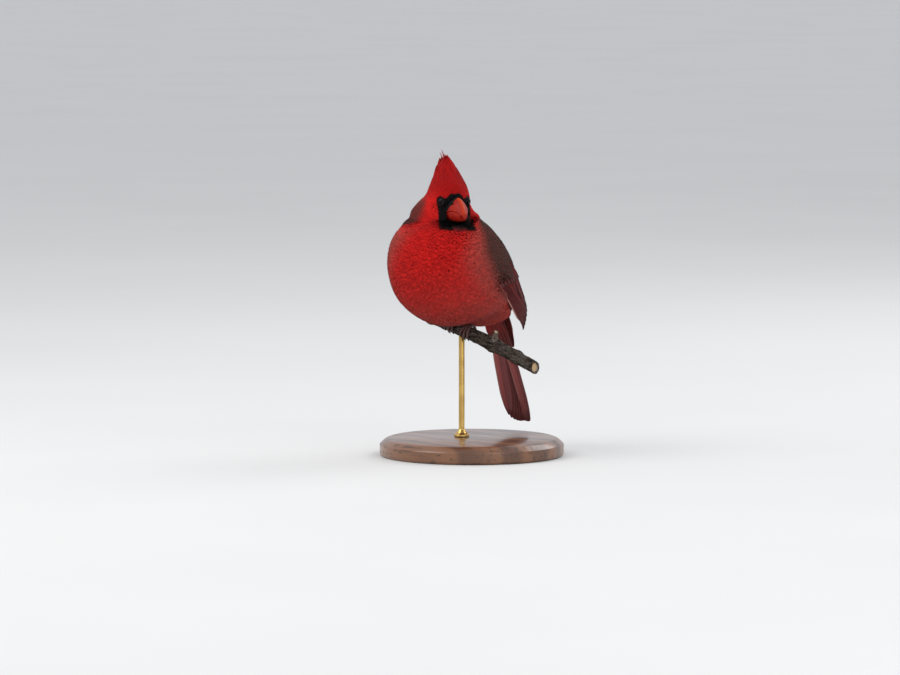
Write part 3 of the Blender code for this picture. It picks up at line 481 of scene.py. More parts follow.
def swell_over_wing(points, bare_panel=False):
    for side in (1.0, -1.0):
        mirrored = points * (side, 1.0, 1.0)
        a, b, h = wing_place(mirrored)
        rise = ease(-0.018, 0.010, a) * (1.0 - ease(0.045, 0.075, a))
        rise = rise * ease(-0.022, 0.004, b) * (1.0 - ease(0.016, 0.036, b)) * ease(0.0, 0.006, mirrored[:, 0])
        rise = rise * (1.0 - 0.75 * ease(0.020, 0.038, a) * (1.0 - ease(-0.009, 0.001, b)))
        if bare_panel:
            rise = rise * (1.0 - wing_panel(a, b, 0.009, 0.006))
        points = points + np.outer(rise * SWELL, WING_H) * (side, 1.0, 1.0)
    return points


TAIL_FROM = np.array((0.0012, 0.0455, -0.0135))
TAIL_SLOPE = math.radians(70.0)
TAIL_ARCH = 0.040
TAIL_D = np.array((0.0, math.cos(TAIL_SLOPE), -math.sin(TAIL_SLOPE)))
TAIL_X = np.array((1.0, 0.0, 0.0))
TAIL_N = np.array((0.0, math.sin(TAIL_SLOPE), math.cos(TAIL_SLOPE)))


def tail_at(s, x, n):
    return TAIL_FROM + np.outer(s, TAIL_D) + np.outer(x, TAIL_X) + np.outer(n - x * x / (2.0 * TAIL_ARCH), TAIL_N)


print("wing runs mm", round(float(np.linalg.norm(WING_TIP - WING_WRIST)) / MM, 1))

# %% [markdown]
# A male cardinal is brightest on breast and crest, duller on the flanks, and grey-brown
# on the mantle.  The dull flank and belly colour here is partly that plumage and partly
# painted shade, deeper low on the body and on the bird's right side.  A black mask runs
# round the bill, touches the eyes and ends in a bib.
# Each place on the bird gets a weight for each of these, by rules in the head's and the
# body's own directions, and skin and feathers both read the weights, so they agree.

# %% Markings
BILL_MIDDLE = -0.0018
# Mask, in the head's forward, side and up: its middle and half width going forward, its
# upper rim going outwards, and its rear rim going up
MASK_FORWARD = [0.006, 0.010, 0.019, 0.028]
MASK_CENTRE = [0.0, -0.0006, -0.0036, -0.0054]
MASK_HALF = [0.0125, 0.0119, 0.0113, 0.0126]
MASK_OUT = [0.0, 0.0030, 0.0050, 0.0066, 0.0085, 0.0110, 0.0125]
MASK_TOP = [0.0088, 0.0090, 0.0074, 0.0054, 0.0058, 0.0058, 0.0050]
MASK_UP = [-0.0040, -0.0007, 0.0047]
MASK_REAR = [0.0095, 0.0064, 0.0042]
# Grey-brown mantle: where it begins on the right and on the left of each level
MANTLE_LEVELS = [4.0, 5.5, 6.4, 8.0, 9.0, 10.0, 11.0, 11.6]
MANTLE_ON_LEFT_WING = [1.53, 1.56, 1.54, 1.35, 1.46, 1.62, 1.85, 2.00]
MANTLE_ON_RIGHT_WING = [1.58, 1.60, 1.56, 1.48, 1.40, 1.40, 1.48, 1.60]


def markings(points, level, angle):
    f, s, u = head_place(points)
    signed = (angle + math.pi) % (2.0 * math.pi) - math.pi
    turn = np.abs(signed)
    half = np.interp(f, MASK_FORWARD, MASK_HALF)
    out = np.abs(s - np.interp(f, MASK_FORWARD, MASK_CENTRE))
    top, rear = np.interp(out, MASK_OUT, MASK_TOP), np.interp(u, MASK_UP, MASK_REAR)
    black = (1.0 - ease(half - 0.0003, half + 0.0004, out)) * (1.0 - ease(top - 0.0002, top + 0.0003, u))
    black = black * ease(rear - 0.0003, rear + 0.0003, f) * ease(-0.10, 0.08, level - 8.25 + 0.57 * signed)
    begin = np.where(signed > 0.0, np.interp(level, MANTLE_LEVELS, MANTLE_ON_LEFT_WING),
                     np.interp(level, MANTLE_LEVELS, MANTLE_ON_RIGHT_WING))
    mantle = ease(-0.14, 0.18, turn - begin) * (1.0 - ease(11.0, 12.4, level)) * (1.0 - 0.12 * ease(8.4, 9.6, level))
    # flank and belly weights: partly the bird's duller plumage, partly painted shade, wider on the bird's right side
    # and strongest low on the body
    flank = np.where(signed > 0.0, ease(0.80, 1.55, turn), ease(0.20, 0.95, turn)) * (1.0 - ease(7.4, 8.6, level))
    belly = (1.0 - ease(2.2, 6.8, level)) * 0.90
    crest = ease(11.4, 13.6, level)
    return {"black": black, "mantle": mantle, "flank": np.maximum(flank, belly), "crest": crest}


def put_flat_map(piece, name, across, along):
    corners = np.empty(len(piece.data.loops), dtype=np.int32)
    piece.data.loops.foreach_get("vertex_index", corners)
    made = piece.data.uv_layers.get(name) or piece.data.uv_layers.new(name=name)
    both = np.stack([np.asarray(across)[corners], np.asarray(along)[corners]], axis=1)
    made.data.foreach_set("uv", both.astype(np.float32).ravel())


RED = shade(212, 31, 28)
DEEP_RED = shade(192, 27, 25)
FLANK_RED_AND_SHADE = shade(170, 70, 62)
CREST_RED = shade(165, 15, 14)
MANTLE_GREY = shade(78, 52, 46)
MANTLE_RED = shade(94, 38, 33)
MASK_BLACK = shade(16, 13, 14)


def plumage_finish(name, feathered):
    finish = Finish(name, 0.88, Sheen_Weight=0.02, Sheen_Roughness=0.5)
    finish.shader.inputs["Specular IOR Level"].default_value = 0.10
    patches = finish.noise(160.0, 3.0)
    colour = finish.mix(finish.ramp(patches, 0.3, 0.7), RED, DEEP_RED)
    # the flank colour is duller plumage mixed with painted shade
    colour = finish.mix(finish.math("MULTIPLY", finish.attribute("flank"), finish.ramp(patches, 0.1, 0.6, 0.75, 1.0)),
                        colour, FLANK_RED_AND_SHADE)
    colour = finish.mix(finish.attribute("crest"), colour, CREST_RED)
    if feathered:
        along = finish.flat_map("vane", 1)
        chance = finish.attribute("chance")
        edged = finish.mix(finish.ramp(along, 0.50, 0.85), MANTLE_RED, MANTLE_GREY)
        colour = finish.mix(finish.attribute("mantle"), colour, edged)
        colour = finish.mix(finish.attribute("black"), colour, MASK_BLACK)
        # darker towards each feather's root: partly its grey down, partly painted shade deep in the coat
        base = finish.mix(1.0, colour, finish.ramp(along, 0.10, 0.62, 0.80, 1.0), "MULTIPLY")
        colour = finish.mix(1.0, base, finish.ramp(chance, 0.0, 1.0, 0.90, 1.0), "MULTIPLY")
        fine = finish.noise(2600.0, 2.0)
        finish.bump(fine, 0.0002, 0.35)
    else:
        colour = finish.mix(finish.attribute("mantle"), colour, MANTLE_GREY)
        colour = finish.mix(finish.attribute("black"), colour, MASK_BLACK)
        colour = finish.mix(1.0, colour, (0.80, 0.76, 0.76, 1.0), "MULTIPLY")
        finish.bump(finish.noise(900.0, 4.0), 0.0004, 0.6)
    finish.colour(colour)
    return finish


# %% [markdown]
# Under the feathers lies one skin, without seams from tail to crest, so nothing shows
# through a gap.  It is a grid bent round the rings, set in by the depth of the coat: deep
# on the fluffed body, shallow on the face.  Round each eye it sinks into a socket.

# %% The skin
BODY_COAT = 0.0026
HEAD_COAT = 0.0011
EYE_RADIUS = 0.00325
EYE_AT = (0.0070, 0.0084, 0.0024)
EYE_LOOK = (0.42, 0.90, 0.08)


def eye_place(side):
    look = unit(HEAD_F * EYE_LOOK[0] + HEAD_S * EYE_LOOK[1] * side + HEAD_U * EYE_LOOK[2])
    return in_head(EYE_AT[0], EYE_AT[1] * side, EYE_AT[2]), look


def near_eye(points, radius):
    near = np.zeros(len(points), dtype=bool)
    for side in (1.0, -1.0):
        centre, look = eye_place(side)
        off = points - centre
        height = off @ look
        away = np.linalg.norm(off - np.outer(height, look), axis=1)
        near |= (height > 0.0) & (away < radius)
    return near


def clear_bill(points, deeper=0.0):
    """Draws the chin and cheeks back where they would hide the root of the lower bill."""
    f, s, u = head_place(points)
    away = np.hypot(np.maximum(np.abs(s) - 0.0070, 0.0), np.maximum(-0.0092 - u, 0.0))
    push = np.maximum(f - 0.0120 - 2.2 * away + deeper, 0.0)
    push = push * (1.0 - ease(-0.002, 0.002, u)) * (1.0 - ease(0.0018, 0.0040, away)) * (1.0 - ease(0.0, 0.004, s))
    return points - np.outer(push, HEAD_F)


def coat_depth(level):
    return BODY_COAT + (HEAD_COAT - BODY_COAT) * ease(7.6, 10.0, level)


def sink_sockets(points):
    for side in (1.0, -1.0):
        centre, look = eye_place(side)
        off = points - centre
        height = off @ look
        away = np.linalg.norm(off - np.outer(height, look), axis=1)
        sunk = 0.0012 + (height - 0.0012) * ease(0.0027, 0.0044, away)
        near = (height > 0.0) & (away < 0.0044)
        points = points + np.outer(np.where(near, np.minimum(sunk - height, 0.0), 0.0), look)
    return points


SKIN_TOP = 15.4
SKIN_COLUMNS = 96
SKIN_ROWS = 176


def skin_at(across, along):
    level, angle = along * SKIN_TOP, across * 2.0 * math.pi
    points = swell_over_wing(body_at(level, angle, coat_depth(level)), bare_panel=True)
    return clear_bill(sink_sockets(points), HEAD_COAT) + BIRD_ORIGIN


skin = bent_grid("bird_skin", SKIN_COLUMNS, SKIN_ROWS, skin_at)
skin.data.uv_layers[0].name = "OFBake"
skin_level = numbers_of(skin, "along") * SKIN_TOP
skin_angle = numbers_of(skin, "across") * 2.0 * math.pi
skin_marks = markings(points_of(skin) - BIRD_ORIGIN, skin_level, skin_angle)
skin_marks["black"] = np.maximum(skin_marks["black"], near_eye(points_of(skin) - BIRD_ORIGIN, 0.0046))
for key, weights in skin_marks.items():
    put_numbers(skin, key, weights)
plumage_finish("skin_finish", False).on(skin)
belongs(skin, "body_feathers", "torso", "neck", "head")

# %% [markdown]
# A small feather is a blunt vane whose far end parts into loose barbs.  It is modelled
# once, flat, as a closed sliver of a few dozen faces: across from -1 to 1, along from 0 to
# 1, and a thickness.  Three such patterns with other barbs are made, so that no two
# neighbours look stamped from one die.

# %% One small feather
def small_feather(barbs, seed):
    draw = random.Random(seed)
    xs = np.linspace(-1.0, 1.0, barbs + 1)
    points = [(-0.30, 0.0, 0.0), (0.30, 0.0, 0.0), (-0.86, 0.36, 0.2), (0.0, 0.34, 1.0), (0.86, 0.36, 0.2)]
    top = len(points)
    points += [(x, 0.62 + 0.05 * (1.0 - x * x), 0.6 + 0.4 * (1.0 - x * x)) for x in xs]
    under = len(points)
    points += [(x, 0.62 + 0.05 * (1.0 - x * x), -0.4) for x in xs]
    tips = len(points)
    for k in range(barbs):
        middle = (xs[k] + xs[k + 1]) / 2.0
        reach = 1.0 - 0.20 * middle * middle - draw.uniform(0.0, 0.16)
        points.append((middle * 0.90 + draw.uniform(-0.10, 0.10), reach, draw.uniform(-0.5, 1.0)))
    faces = [(0, 3, 2), (0, 1, 3), (1, 4, 3)]
    half = barbs // 2
    faces += [(2, 3, top + half)] + [(2, top + k + 1, top + k) for k in range(half)]
    faces += [(3, 4, top + barbs)] + [(3, top + k + 1, top + k) for k in range(half, barbs)]
    faces += [(0, under + half, 1)] + [(0, under + k, under + k + 1) for k in range(half)]
    faces += [(1, under + k, under + k + 1) for k in range(half, barbs)]
    faces += [(0, 2, under), (2, top, under), (1, under + barbs, 4), (4, under + barbs, top + barbs)]
    for k in range(barbs):
        a, b, c, d, tip = top + k, top + k + 1, under + k, under + k + 1, tips + k
        faces += [(a, b, tip), (d, c, tip), (c, a, tip), (b, d, tip)]
    return np.array(points), np.array(faces)


BODY_PATTERNS = [small_feather(7, seed) for seed in (3, 5, 8)]
FACE_PATTERNS = [small_feather(5, seed) for seed in (11, 13, 17)]
print("triangles in a body feather", len(BODY_PATTERNS[0][1]), "in a face feather", len(FACE_PATTERNS[0][1]))

# %% [markdown]
# Feathers are set by throwing many random places on the rings, keeping them in proportion
# to the skin's area, and then dropping each place that is too near one already kept.  The
# spacing shrinks from the belly to the face, as it does on the real bird.

# %% Where the feathers grow
BODY_SPACING = 0.00100
NECK_SPACING = 0.00086
HEAD_SPACING = 0.00072
FACE_SPACING = 0.00057
FEATHER_TOP = 14.9
THROWS = 900000
BILL_BASE = 0.0121
EYE_BARE = 0.0030


def face_nearness(points):
    f, s, u = head_place(points)
    away = np.sqrt((f - 0.016) ** 2 + s ** 2 + (u + 0.004) ** 2)
    return 1.0 - ease(0.0120, 0.0230, away)


def spacing_at(points, level):
    spacing = BODY_SPACING + (NECK_SPACING - BODY_SPACING) * ease(6.0, 8.2, level)
    spacing = spacing + (HEAD_SPACING - spacing) * ease(8.2, 10.0, level)
    return spacing + (FACE_SPACING - spacing) * face_nearness(points)


def inside_bill(points, margin):
    f, s, u = head_place(points)
    low, high = -0.0092, 0.0062
    middle, half = (low + high) / 2.0, (high - low) / 2.0
    square = np.where(u < middle, 4.0, 1.6)
    reach = (np.abs(s) / (0.0074 + margin)) ** square + (np.abs(u - middle) / (half + margin)) ** square
    return (f > BILL_BASE - 0.004) & (reach < 1.0)


def in_panel(points):
    hidden = np.zeros(len(points), dtype=bool)
    for side in (1.0, -1.0):
        a, b, h = wing_place(points * (side, 1.0, 1.0))
        hidden |= (wing_panel(a, b, 0.0078, 0.0001) > 0.5) & (h > -0.0035) & (h < 0.012) & (a < 0.099)
    return hidden


def feather_roots():
    draw = np.random.default_rng(29)
    level = draw.uniform(-0.1, FEATHER_TOP, THROWS)
    angle = draw.uniform(-math.pi, math.pi, THROWS)
    up, round_, normal = body_frame(level, angle)
    area = np.linalg.norm(np.cross(up, round_), axis=1)
    points = body_at(level, angle)
    wanted = area / spacing_at(points, level) ** 2
    keep = draw.uniform(0.0, 1.0, THROWS) < wanted / np.percentile(wanted, 98.0)
    keep &= ~inside_bill(points, 0.0001) & ~near_eye(points, EYE_BARE) & ~in_panel(points)
    level, angle, points = level[keep], angle[keep], points[keep]
    spacing = spacing_at(points, level)
    tree = KDTree(len(points))
    for k, point in enumerate(points):
        tree.insert(point, k)
    tree.balance()
    alive = np.ones(len(points), dtype=bool)
    for k in range(len(points)):
        if alive[k]:
            for _, other, _ in tree.find_range(points[k], spacing[k]):
                if other > k:
                    alive[other] = False
    return level[alive], angle[alive]


root_level, root_angle = feather_roots()
print("feather roots", len(root_level))

# %% [markdown]
# Feathers lie backwards.  On the body that is down the rings towards the tail.  On the
# face they fan out from the bill, over the crown they rise into the crest.  Each feather
# is laid in the rings' own two directions, so that it bends with the body, its root is
# sunk in the skin and its tip comes up to the coat's surface.

# %% Laying the feathers along the body
BODY_LENGTH = 0.0082
NECK_LENGTH = 0.0060
HEAD_LENGTH = 0.0040
FACE_LENGTH = 0.0021
WIDTH_SHARE = 0.13
SHOWN = 0.75
THROAT_FLUFF = 0.0014
FEATHER_THICK = 0.00009
PATCH = 0.003
CREST_LEAN = unit(HEAD_U * 0.80 - HEAD_F * 0.60)
BODY_DOWN = unit((0.0, 0.62, -0.78))
SOFTNESS = 0.82


def lie_of(points, level, angle):
    up, round_, normal = body_frame(level, angle)
    fan = unit(points - in_head(0.004, 0.0, BILL_MIDDLE))
    on_head = ease(8.3, 9.6, level)[:, None]
    to_crest = ease(10.4, 12.0, level)[:, None]
    turn = np.abs((angle + math.pi) % (2.0 * math.pi) - math.pi)
    sideways = ease(0.55, 1.30, turn)[:, None]
    down = unit(-unit(up) * (1.0 - sideways) + BODY_DOWN * sideways)
    wish = down * (1.0 - 0.80 * on_head) + fan * on_head * 1.1
    wish = wish * (1.0 - to_crest) + (CREST_LEAN + 0.35 * fan) * to_crest
    wish = wish - normal * np.sum(wish * normal, axis=1, keepdims=True)
    return unit(wish), up, round_, normal


def ring_steps(direction, up, round_):
    uu, rr, ur = [np.sum(p * q, axis=1) for p, q in ((up, up), (round_, round_), (up, round_))]
    du, dr = np.sum(direction * up, axis=1), np.sum(direction * round_, axis=1)
    both = np.maximum(uu * rr - ur * ur, 1e-14)
    return (du * rr - dr * ur) / both, (dr * uu - du * ur) / both


def lay_feathers(name, chosen, patterns, seed):
    level, angle = root_level[chosen], root_angle[chosen]
    draw = np.random.default_rng(seed)
    points = body_at(level, angle)
    lie, up, round_, normal = lie_of(points, level, angle)
    swing = draw.normal(0.0, 0.10, len(level))[:, None]
    lie = unit(lie + np.cross(normal, lie) * swing)
    across = np.cross(normal, lie)
    lie_level, lie_angle = ring_steps(lie, up, round_)
    side_level, side_angle = ring_steps(across, up, round_)
    length = BODY_LENGTH + (NECK_LENGTH - BODY_LENGTH) * ease(6.0, 8.4, level)
    length = length + (HEAD_LENGTH - length) * ease(8.3, 10.0, level)
    length = length + (FACE_LENGTH - length) * face_nearness(points)
    length = length * draw.uniform(0.86, 1.14, len(level))
    tips = body_at(level + length * lie_level, angle + length * lie_angle)
    length = length * np.where(near_eye(tips, EYE_BARE), 0.5, 1.0)
    width = np.maximum(length * WIDTH_SHARE, 0.0008 - 0.0003 * face_nearness(points)) * draw.uniform(0.9, 1.15, len(level))
    sunk = coat_depth(level) * 1.06
    lift = draw.uniform(-0.00006, 0.00014, len(level)) * (length / BODY_LENGTH)
    shown_level, shown_angle = level + SHOWN * length * lie_level, angle + SHOWN * length * lie_angle
    weights = markings(body_at(shown_level, shown_angle), shown_level, shown_angle)
    weights["chance"] = draw.uniform(0.0, 1.0, len(level))
    kind = draw.integers(0, len(patterns), len(level))
    corners, facing, faces_of, numbers, vane, bake = [], [], [], {key: [] for key in weights}, [], []
    start = 0
    for k, (shape, faces) in enumerate(patterns):
        pick = np.flatnonzero(kind == k)
        x, y, z = shape[:, 0][None], shape[:, 1][None], shape[:, 2][None]
        run, spread = y * length[pick][:, None], x * width[pick][:, None]
        levels = level[pick][:, None] + run * lie_level[pick][:, None] + spread * side_level[pick][:, None]
        angles = angle[pick][:, None] + run * lie_angle[pick][:, None] + spread * side_angle[pick][:, None]
        height = -sunk[pick][:, None] * (1.0 - y) ** 1.2 + lift[pick][:, None] * y ** 2 + z * FEATHER_THICK
        height = height - 0.16 * width[pick][:, None] * x * x * y
        signed = (angles + math.pi) % (2.0 * math.pi) - math.pi
        turns = np.where(signed > 0.0, 0.75 * signed, -signed)
        hump = ease(7.8, 8.5, levels) * (1.0 - ease(8.9, 9.7, levels)) * (1.0 - ease(0.9, 1.5, turns))
        height = height + THROAT_FLUFF * hump * y
        out = body_frame(levels.ravel(), angles.ravel())[2]
        placed = body_at(levels.ravel(), angles.ravel()) + out * height.ravel()[:, None]
        corners.append(clear_bill(swell_over_wing(placed)))
        facing.append(out)
        faces_of.append((faces[None] + start + np.arange(len(pick))[:, None, None] * len(shape)).reshape(-1, 3))
        start += len(placed)
        for key, values in weights.items():
            numbers[key].append(np.repeat(values[pick], len(shape)))
        vane.append(np.tile(shape[:, :2] * (0.5, 1.0) + (0.5, 0.0), (len(pick), 1)))
        bake.append(bake_patches(level[pick], angle[pick], shape))
    return coat_piece(name, corners, facing, faces_of, numbers, vane, bake)


def bake_patches(level, angle, shape):
    home = np.stack([(angle / (2.0 * math.pi)) % 1.0, level / SKIN_TOP], axis=1)
    home = np.clip(home, PATCH, 1.0 - PATCH)
    return (home[:, None, :] + (shape[None, :, :2] * (0.5, 1.0) - (0.0, 0.5)) * PATCH).reshape(-1, 2)


def coat_piece(name, corners, facing, faces, numbers, vane, bake):
    """Joins feathers to one mesh.  Their shading leans towards the body's own, as in down."""
    piece = joined_mesh(name, np.concatenate(corners) + BIRD_ORIGIN, np.concatenate(faces))
    for key, values in numbers.items():
        put_numbers(piece, key, np.concatenate(values))
    vane, bake = np.concatenate(vane), np.concatenate(bake)
    put_flat_map(piece, "OFBake", bake[:, 0], bake[:, 1])
    put_flat_map(piece, "vane", vane[:, 0], vane[:, 1])
    own = np.empty(3 * len(piece.data.vertices), dtype=np.float32)
    piece.data.vertex_normals.foreach_get("vector", own)
    own = own.reshape(-1, 3).astype(float)
    out = np.concatenate(facing)
    soft = unit(own * (1.0 - SOFTNESS) + out * SOFTNESS)
    upper = np.sum(own * out, axis=1) > -0.2
    piece.data.normals_split_custom_set_from_vertices(np.where(upper[:, None], soft, own).tolist())
    return piece


def joined_mesh(name, points, faces):
    mesh = bpy.data.meshes.new(name)
    mesh.vertices.add(len(points))
    mesh.vertices.foreach_set("co", points.astype(np.float32).ravel())
    mesh.loops.add(faces.size)
    mesh.loops.foreach_set("vertex_index", faces.astype(np.int32).ravel())
    mesh.polygons.add(len(faces))
    mesh.polygons.foreach_set("loop_start", np.arange(0, faces.size, faces.shape[1], dtype=np.int32))
    mesh.update(calc_edges=True)
    mesh.shade_smooth()
    piece = bpy.data.objects.new(name, mesh)
    bpy.context.scene.collection.objects.link(piece)
    return piece


coat_finish = plumage_finish("coat_finish", True)
turned_away = np.abs(root_angle) > 1.75
on_head = root_level > 9.0
is_breast = ~turned_away & ~on_head & (root_level > 5.2)
is_belly = ~turned_away & ~on_head & (root_level <= 5.2)
is_left = root_angle > 0.0
COAT = [
    ("breast_feathers_left", is_breast & is_left, BODY_PATTERNS),
    ("breast_feathers_right", is_breast & ~is_left, BODY_PATTERNS),
    ("belly_feathers_left", is_belly & is_left, BODY_PATTERNS),
    ("belly_feathers_right", is_belly & ~is_left, BODY_PATTERNS),
    ("back_feathers_left", turned_away & ~on_head & is_left, BODY_PATTERNS),
    ("back_feathers_right", turned_away & ~on_head & ~is_left, BODY_PATTERNS),
    ("head_feathers", on_head, FACE_PATTERNS),
]
for number, (name, chosen, patterns) in enumerate(COAT):
    coat = lay_feathers(name, np.flatnonzero(chosen), patterns, 100 + number)
    coat_finish.on(coat)
    belongs(coat, "body_feathers")

# %% [markdown]
# A long feather of wing or tail has a raised shaft, a narrow outer web and a wide inner
# web, and a rounded end.  It is modelled once as by hand: a flat grid, its middle row of
# points raised for the shaft, its ends drawn in, and a thin wall given to it.  Copies are
# then bent along each feather's own path on the wing's or tail's sheet.

# %% One long feather
QUILL_COLUMNS = 8
QUILL_ROWS = 14
QUILL_WALL = 0.06
SHAFT_RISE = 0.10


def select_where(piece, test):
    only(piece)
    places = points_of(piece)
    chosen = test(places[:, 0], places[:, 1])
    piece.data.vertices.foreach_set("select", chosen)
    piece.data.edges.foreach_set("select", np.zeros(len(piece.data.edges), dtype=bool))
    piece.data.polygons.foreach_set("select", np.zeros(len(piece.data.polygons), dtype=bool))
    bpy.ops.object.mode_set(mode="EDIT")
    bpy.ops.mesh.select_mode(type="VERT")


def long_feather(name, outline):
    only(None)
    bpy.ops.mesh.primitive_grid_add(x_subdivisions=QUILL_COLUMNS, y_subdivisions=QUILL_ROWS, size=1.0)
    piece = bpy.context.object
    piece.name = name
    edit(piece)
    bpy.ops.transform.resize(value=(2.0, 1.0, 1.0), center_override=(0.0, 0.0, 0.0))
    bpy.ops.transform.translate(value=(0.0, 0.5, 0.0))
    leave_edit()
    step = 2.0 / QUILL_COLUMNS
    for side in (-1.0, 1.0):
        select_where(piece, lambda x, y: np.abs(x - side * step) < 0.01)
        bpy.ops.transform.translate(value=(-side * step * 0.55, 0.0, 0.0))
        leave_edit()
    select_where(piece, lambda x, y: np.abs(x) < 0.01)
    bpy.ops.transform.translate(value=(0.0, 0.0, SHAFT_RISE))
    leave_edit()
    for row in range(QUILL_ROWS + 1):
        along = row / QUILL_ROWS
        width = float(np.interp(along, [p[0] for p in outline], [p[1] for p in outline]))
        select_where(piece, lambda x, y: np.abs(y - along) < 0.01)
        bpy.ops.transform.resize(value=(width, 1.0, 1.0 if row else 0.5), center_override=(0.0, along, 0.0))
        leave_edit()
    rounded = points_of(piece)
    rounded[:, 1] += 0.030 * (1.0 - rounded[:, 0] ** 2) * ease(0.80, 1.0, rounded[:, 1])
    set_points(piece, rounded)
    finish_with(piece, "SOLIDIFY", thickness=QUILL_WALL, offset=-1.0)
    edit(piece)
    bpy.ops.mesh.quads_convert_to_tris()
    leave_edit()
    faces = np.array([tuple(p.vertices) for p in piece.data.polygons])
    points = points_of(piece)
    bpy.data.objects.remove(piece)
    return points, faces


FLIGHT_OUTLINE = [(0.0, 0.34), (0.12, 0.62), (0.40, 1.0), (0.78, 0.97), (0.90, 0.80), (0.97, 0.52), (1.0, 0.26)]
COVERT_OUTLINE = [(0.0, 0.45), (0.35, 0.90), (0.65, 1.0), (0.86, 0.86), (0.95, 0.58), (1.0, 0.30)]
PLUME_OUTLINE = [(0.0, 0.50), (0.30, 1.0), (0.62, 0.86), (0.84, 0.48), (0.94, 0.22), (1.0, 0.04)]
FLIGHT = long_feather("flight_pattern", FLIGHT_OUTLINE)
COVERT = long_feather("covert_pattern", COVERT_OUTLINE)
PLUME = long_feather("plume_pattern", PLUME_OUTLINE)
print("triangles in a flight feather", len(FLIGHT[1]))


# %% Bending long feathers into place
def curve_at(path, share):
    path = np.array(path, float)
    path = np.vstack([2.0 * path[0] - path[1], path, 2.0 * path[-1] - path[-2]])
    spans = len(path) - 3
    i = np.clip((share * spans).astype(int), 0, spans - 1)
    u = (share * spans - i)[:, None]
    p0, p1, p2, p3 = path[i], path[i + 1], path[i + 2], path[i + 3]
    bend, twist = 2.0 * p0 - 5.0 * p1 + 4.0 * p2 - p3, 3.0 * (p1 - p2) + p3 - p0
    point = 0.5 * (2.0 * p1 + (p2 - p0) * u + bend * u ** 2 + twist * u ** 3)
    return point, 0.5 * (p2 - p0 + 2.0 * bend * u + 3.0 * twist * u ** 2)


def sheet_feather(pattern, sheet, path, outer, inner, curl=0.0, arch=0.10):
    shape, faces = pattern
    x, y, z = shape.T
    point, heading = curve_at(path, y)
    heading = heading[:, :2] / np.linalg.norm(heading[:, :2], axis=1, keepdims=True)
    width = np.where(x < 0.0, outer, inner) * x
    first = point[:, 0] - heading[:, 1] * width
    second = point[:, 1] + heading[:, 0] * width
    mean = (outer + inner) / 2.0
    height = point[:, 2] + (z - arch * x * x) * mean + curl * mean * y ** 3
    return sheet(first, second, height)


class FeatherTray:
    def __init__(self, cells):
        self.cells = cells
        self.points, self.faces, self.vane, self.bake, self.web = [], [], [], [], []
        self.chance, self.highlight_rim = [], []
        self.count = 0
        self.start = 0

    def add(self, pattern, points, size, chance, highlight_rim=0.0):
        shape, faces = pattern
        column, row = self.count % self.cells, self.count // self.cells
        under = (shape[:, 2] < -QUILL_WALL * 0.4).astype(float)
        self.points.append(points)
        self.faces.append(faces + self.start)
        self.vane.append(np.stack([shape[:, 0] * size[0] * 100.0, shape[:, 1] * size[1] * 100.0], axis=1))
        flat = np.stack([(column + 0.04 + (shape[:, 0] * 0.5 + 0.5) * 0.44 + under * 0.48) / self.cells,
                         (row + 0.04 + np.clip(shape[:, 1], 0.0, 1.0) * 0.92) / self.cells], axis=1)
        self.bake.append(flat)
        self.chance.append(np.full(len(points), chance))
        self.highlight_rim.append(np.full(len(points), highlight_rim))
        self.web.append(np.stack([shape[:, 0], shape[:, 1]], axis=1))
        self.start += len(points)
        self.count += 1

    def piece(self, name, flip=False):
        points = np.concatenate(self.points)
        faces = np.concatenate(self.faces)
        if flip:
            points = points * (-1.0, 1.0, 1.0)
            faces = faces[:, ::-1]
        made = joined_mesh(name, points + BIRD_ORIGIN, np.ascontiguousarray(faces))
        vane, bake, web = np.concatenate(self.vane), np.concatenate(self.bake), np.concatenate(self.web)
        put_flat_map(made, "OFBake", bake[:, 0], bake[:, 1])
        put_flat_map(made, "vane", vane[:, 0], vane[:, 1])
        put_numbers(made, "chance", np.concatenate(self.chance))
        put_numbers(made, "highlight_rim", np.concatenate(self.highlight_rim))
        put_numbers(made, "web_across", web[:, 0])
        put_numbers(made, "web_along", web[:, 1])
        return made


# %% [markdown]
# The folded wing stacks like a closed fan: nine primaries lie lowest, at the wing's lower
# edge, four secondaries and three tertials lie on them, and greater coverts roof the place
# where they come out of the body's fluffed feathers.  Of each feather only the outer web
# shows, red with a painted shadow line along its rim where the next feather overlaps it, so
# the wing reads as narrow strips, and the lowest feather's rim carries a painted highlight
# instead.  Both wings come from one tray of feathers, one of them mirrored.

# %% The wings
LAYER = 0.0003
LOWEST_LAYER = 0.00081
PRIMARY_TIPS = [(0.0800, -0.0043), (0.0855, -0.0036), (0.0900, -0.0028), (0.0935, -0.0020), (0.0948, -0.0008),
                (0.0935, 0.0010), (0.0915, 0.0026), (0.0885, 0.0042), (0.0850, 0.0056)]
SECONDARIES = 4
TERTIAL_TIPS = [(0.0800, 0.0066), (0.0725, 0.0088), (0.0640, 0.0108)]
STACK_B = [-0.0075, -0.0045, 0.0, 0.005, 0.009, 0.013, 0.018]
STACK_TOP = [0.0010, 0.0013, 0.0032, 0.0042, 0.0049, 0.0056, 0.0058]


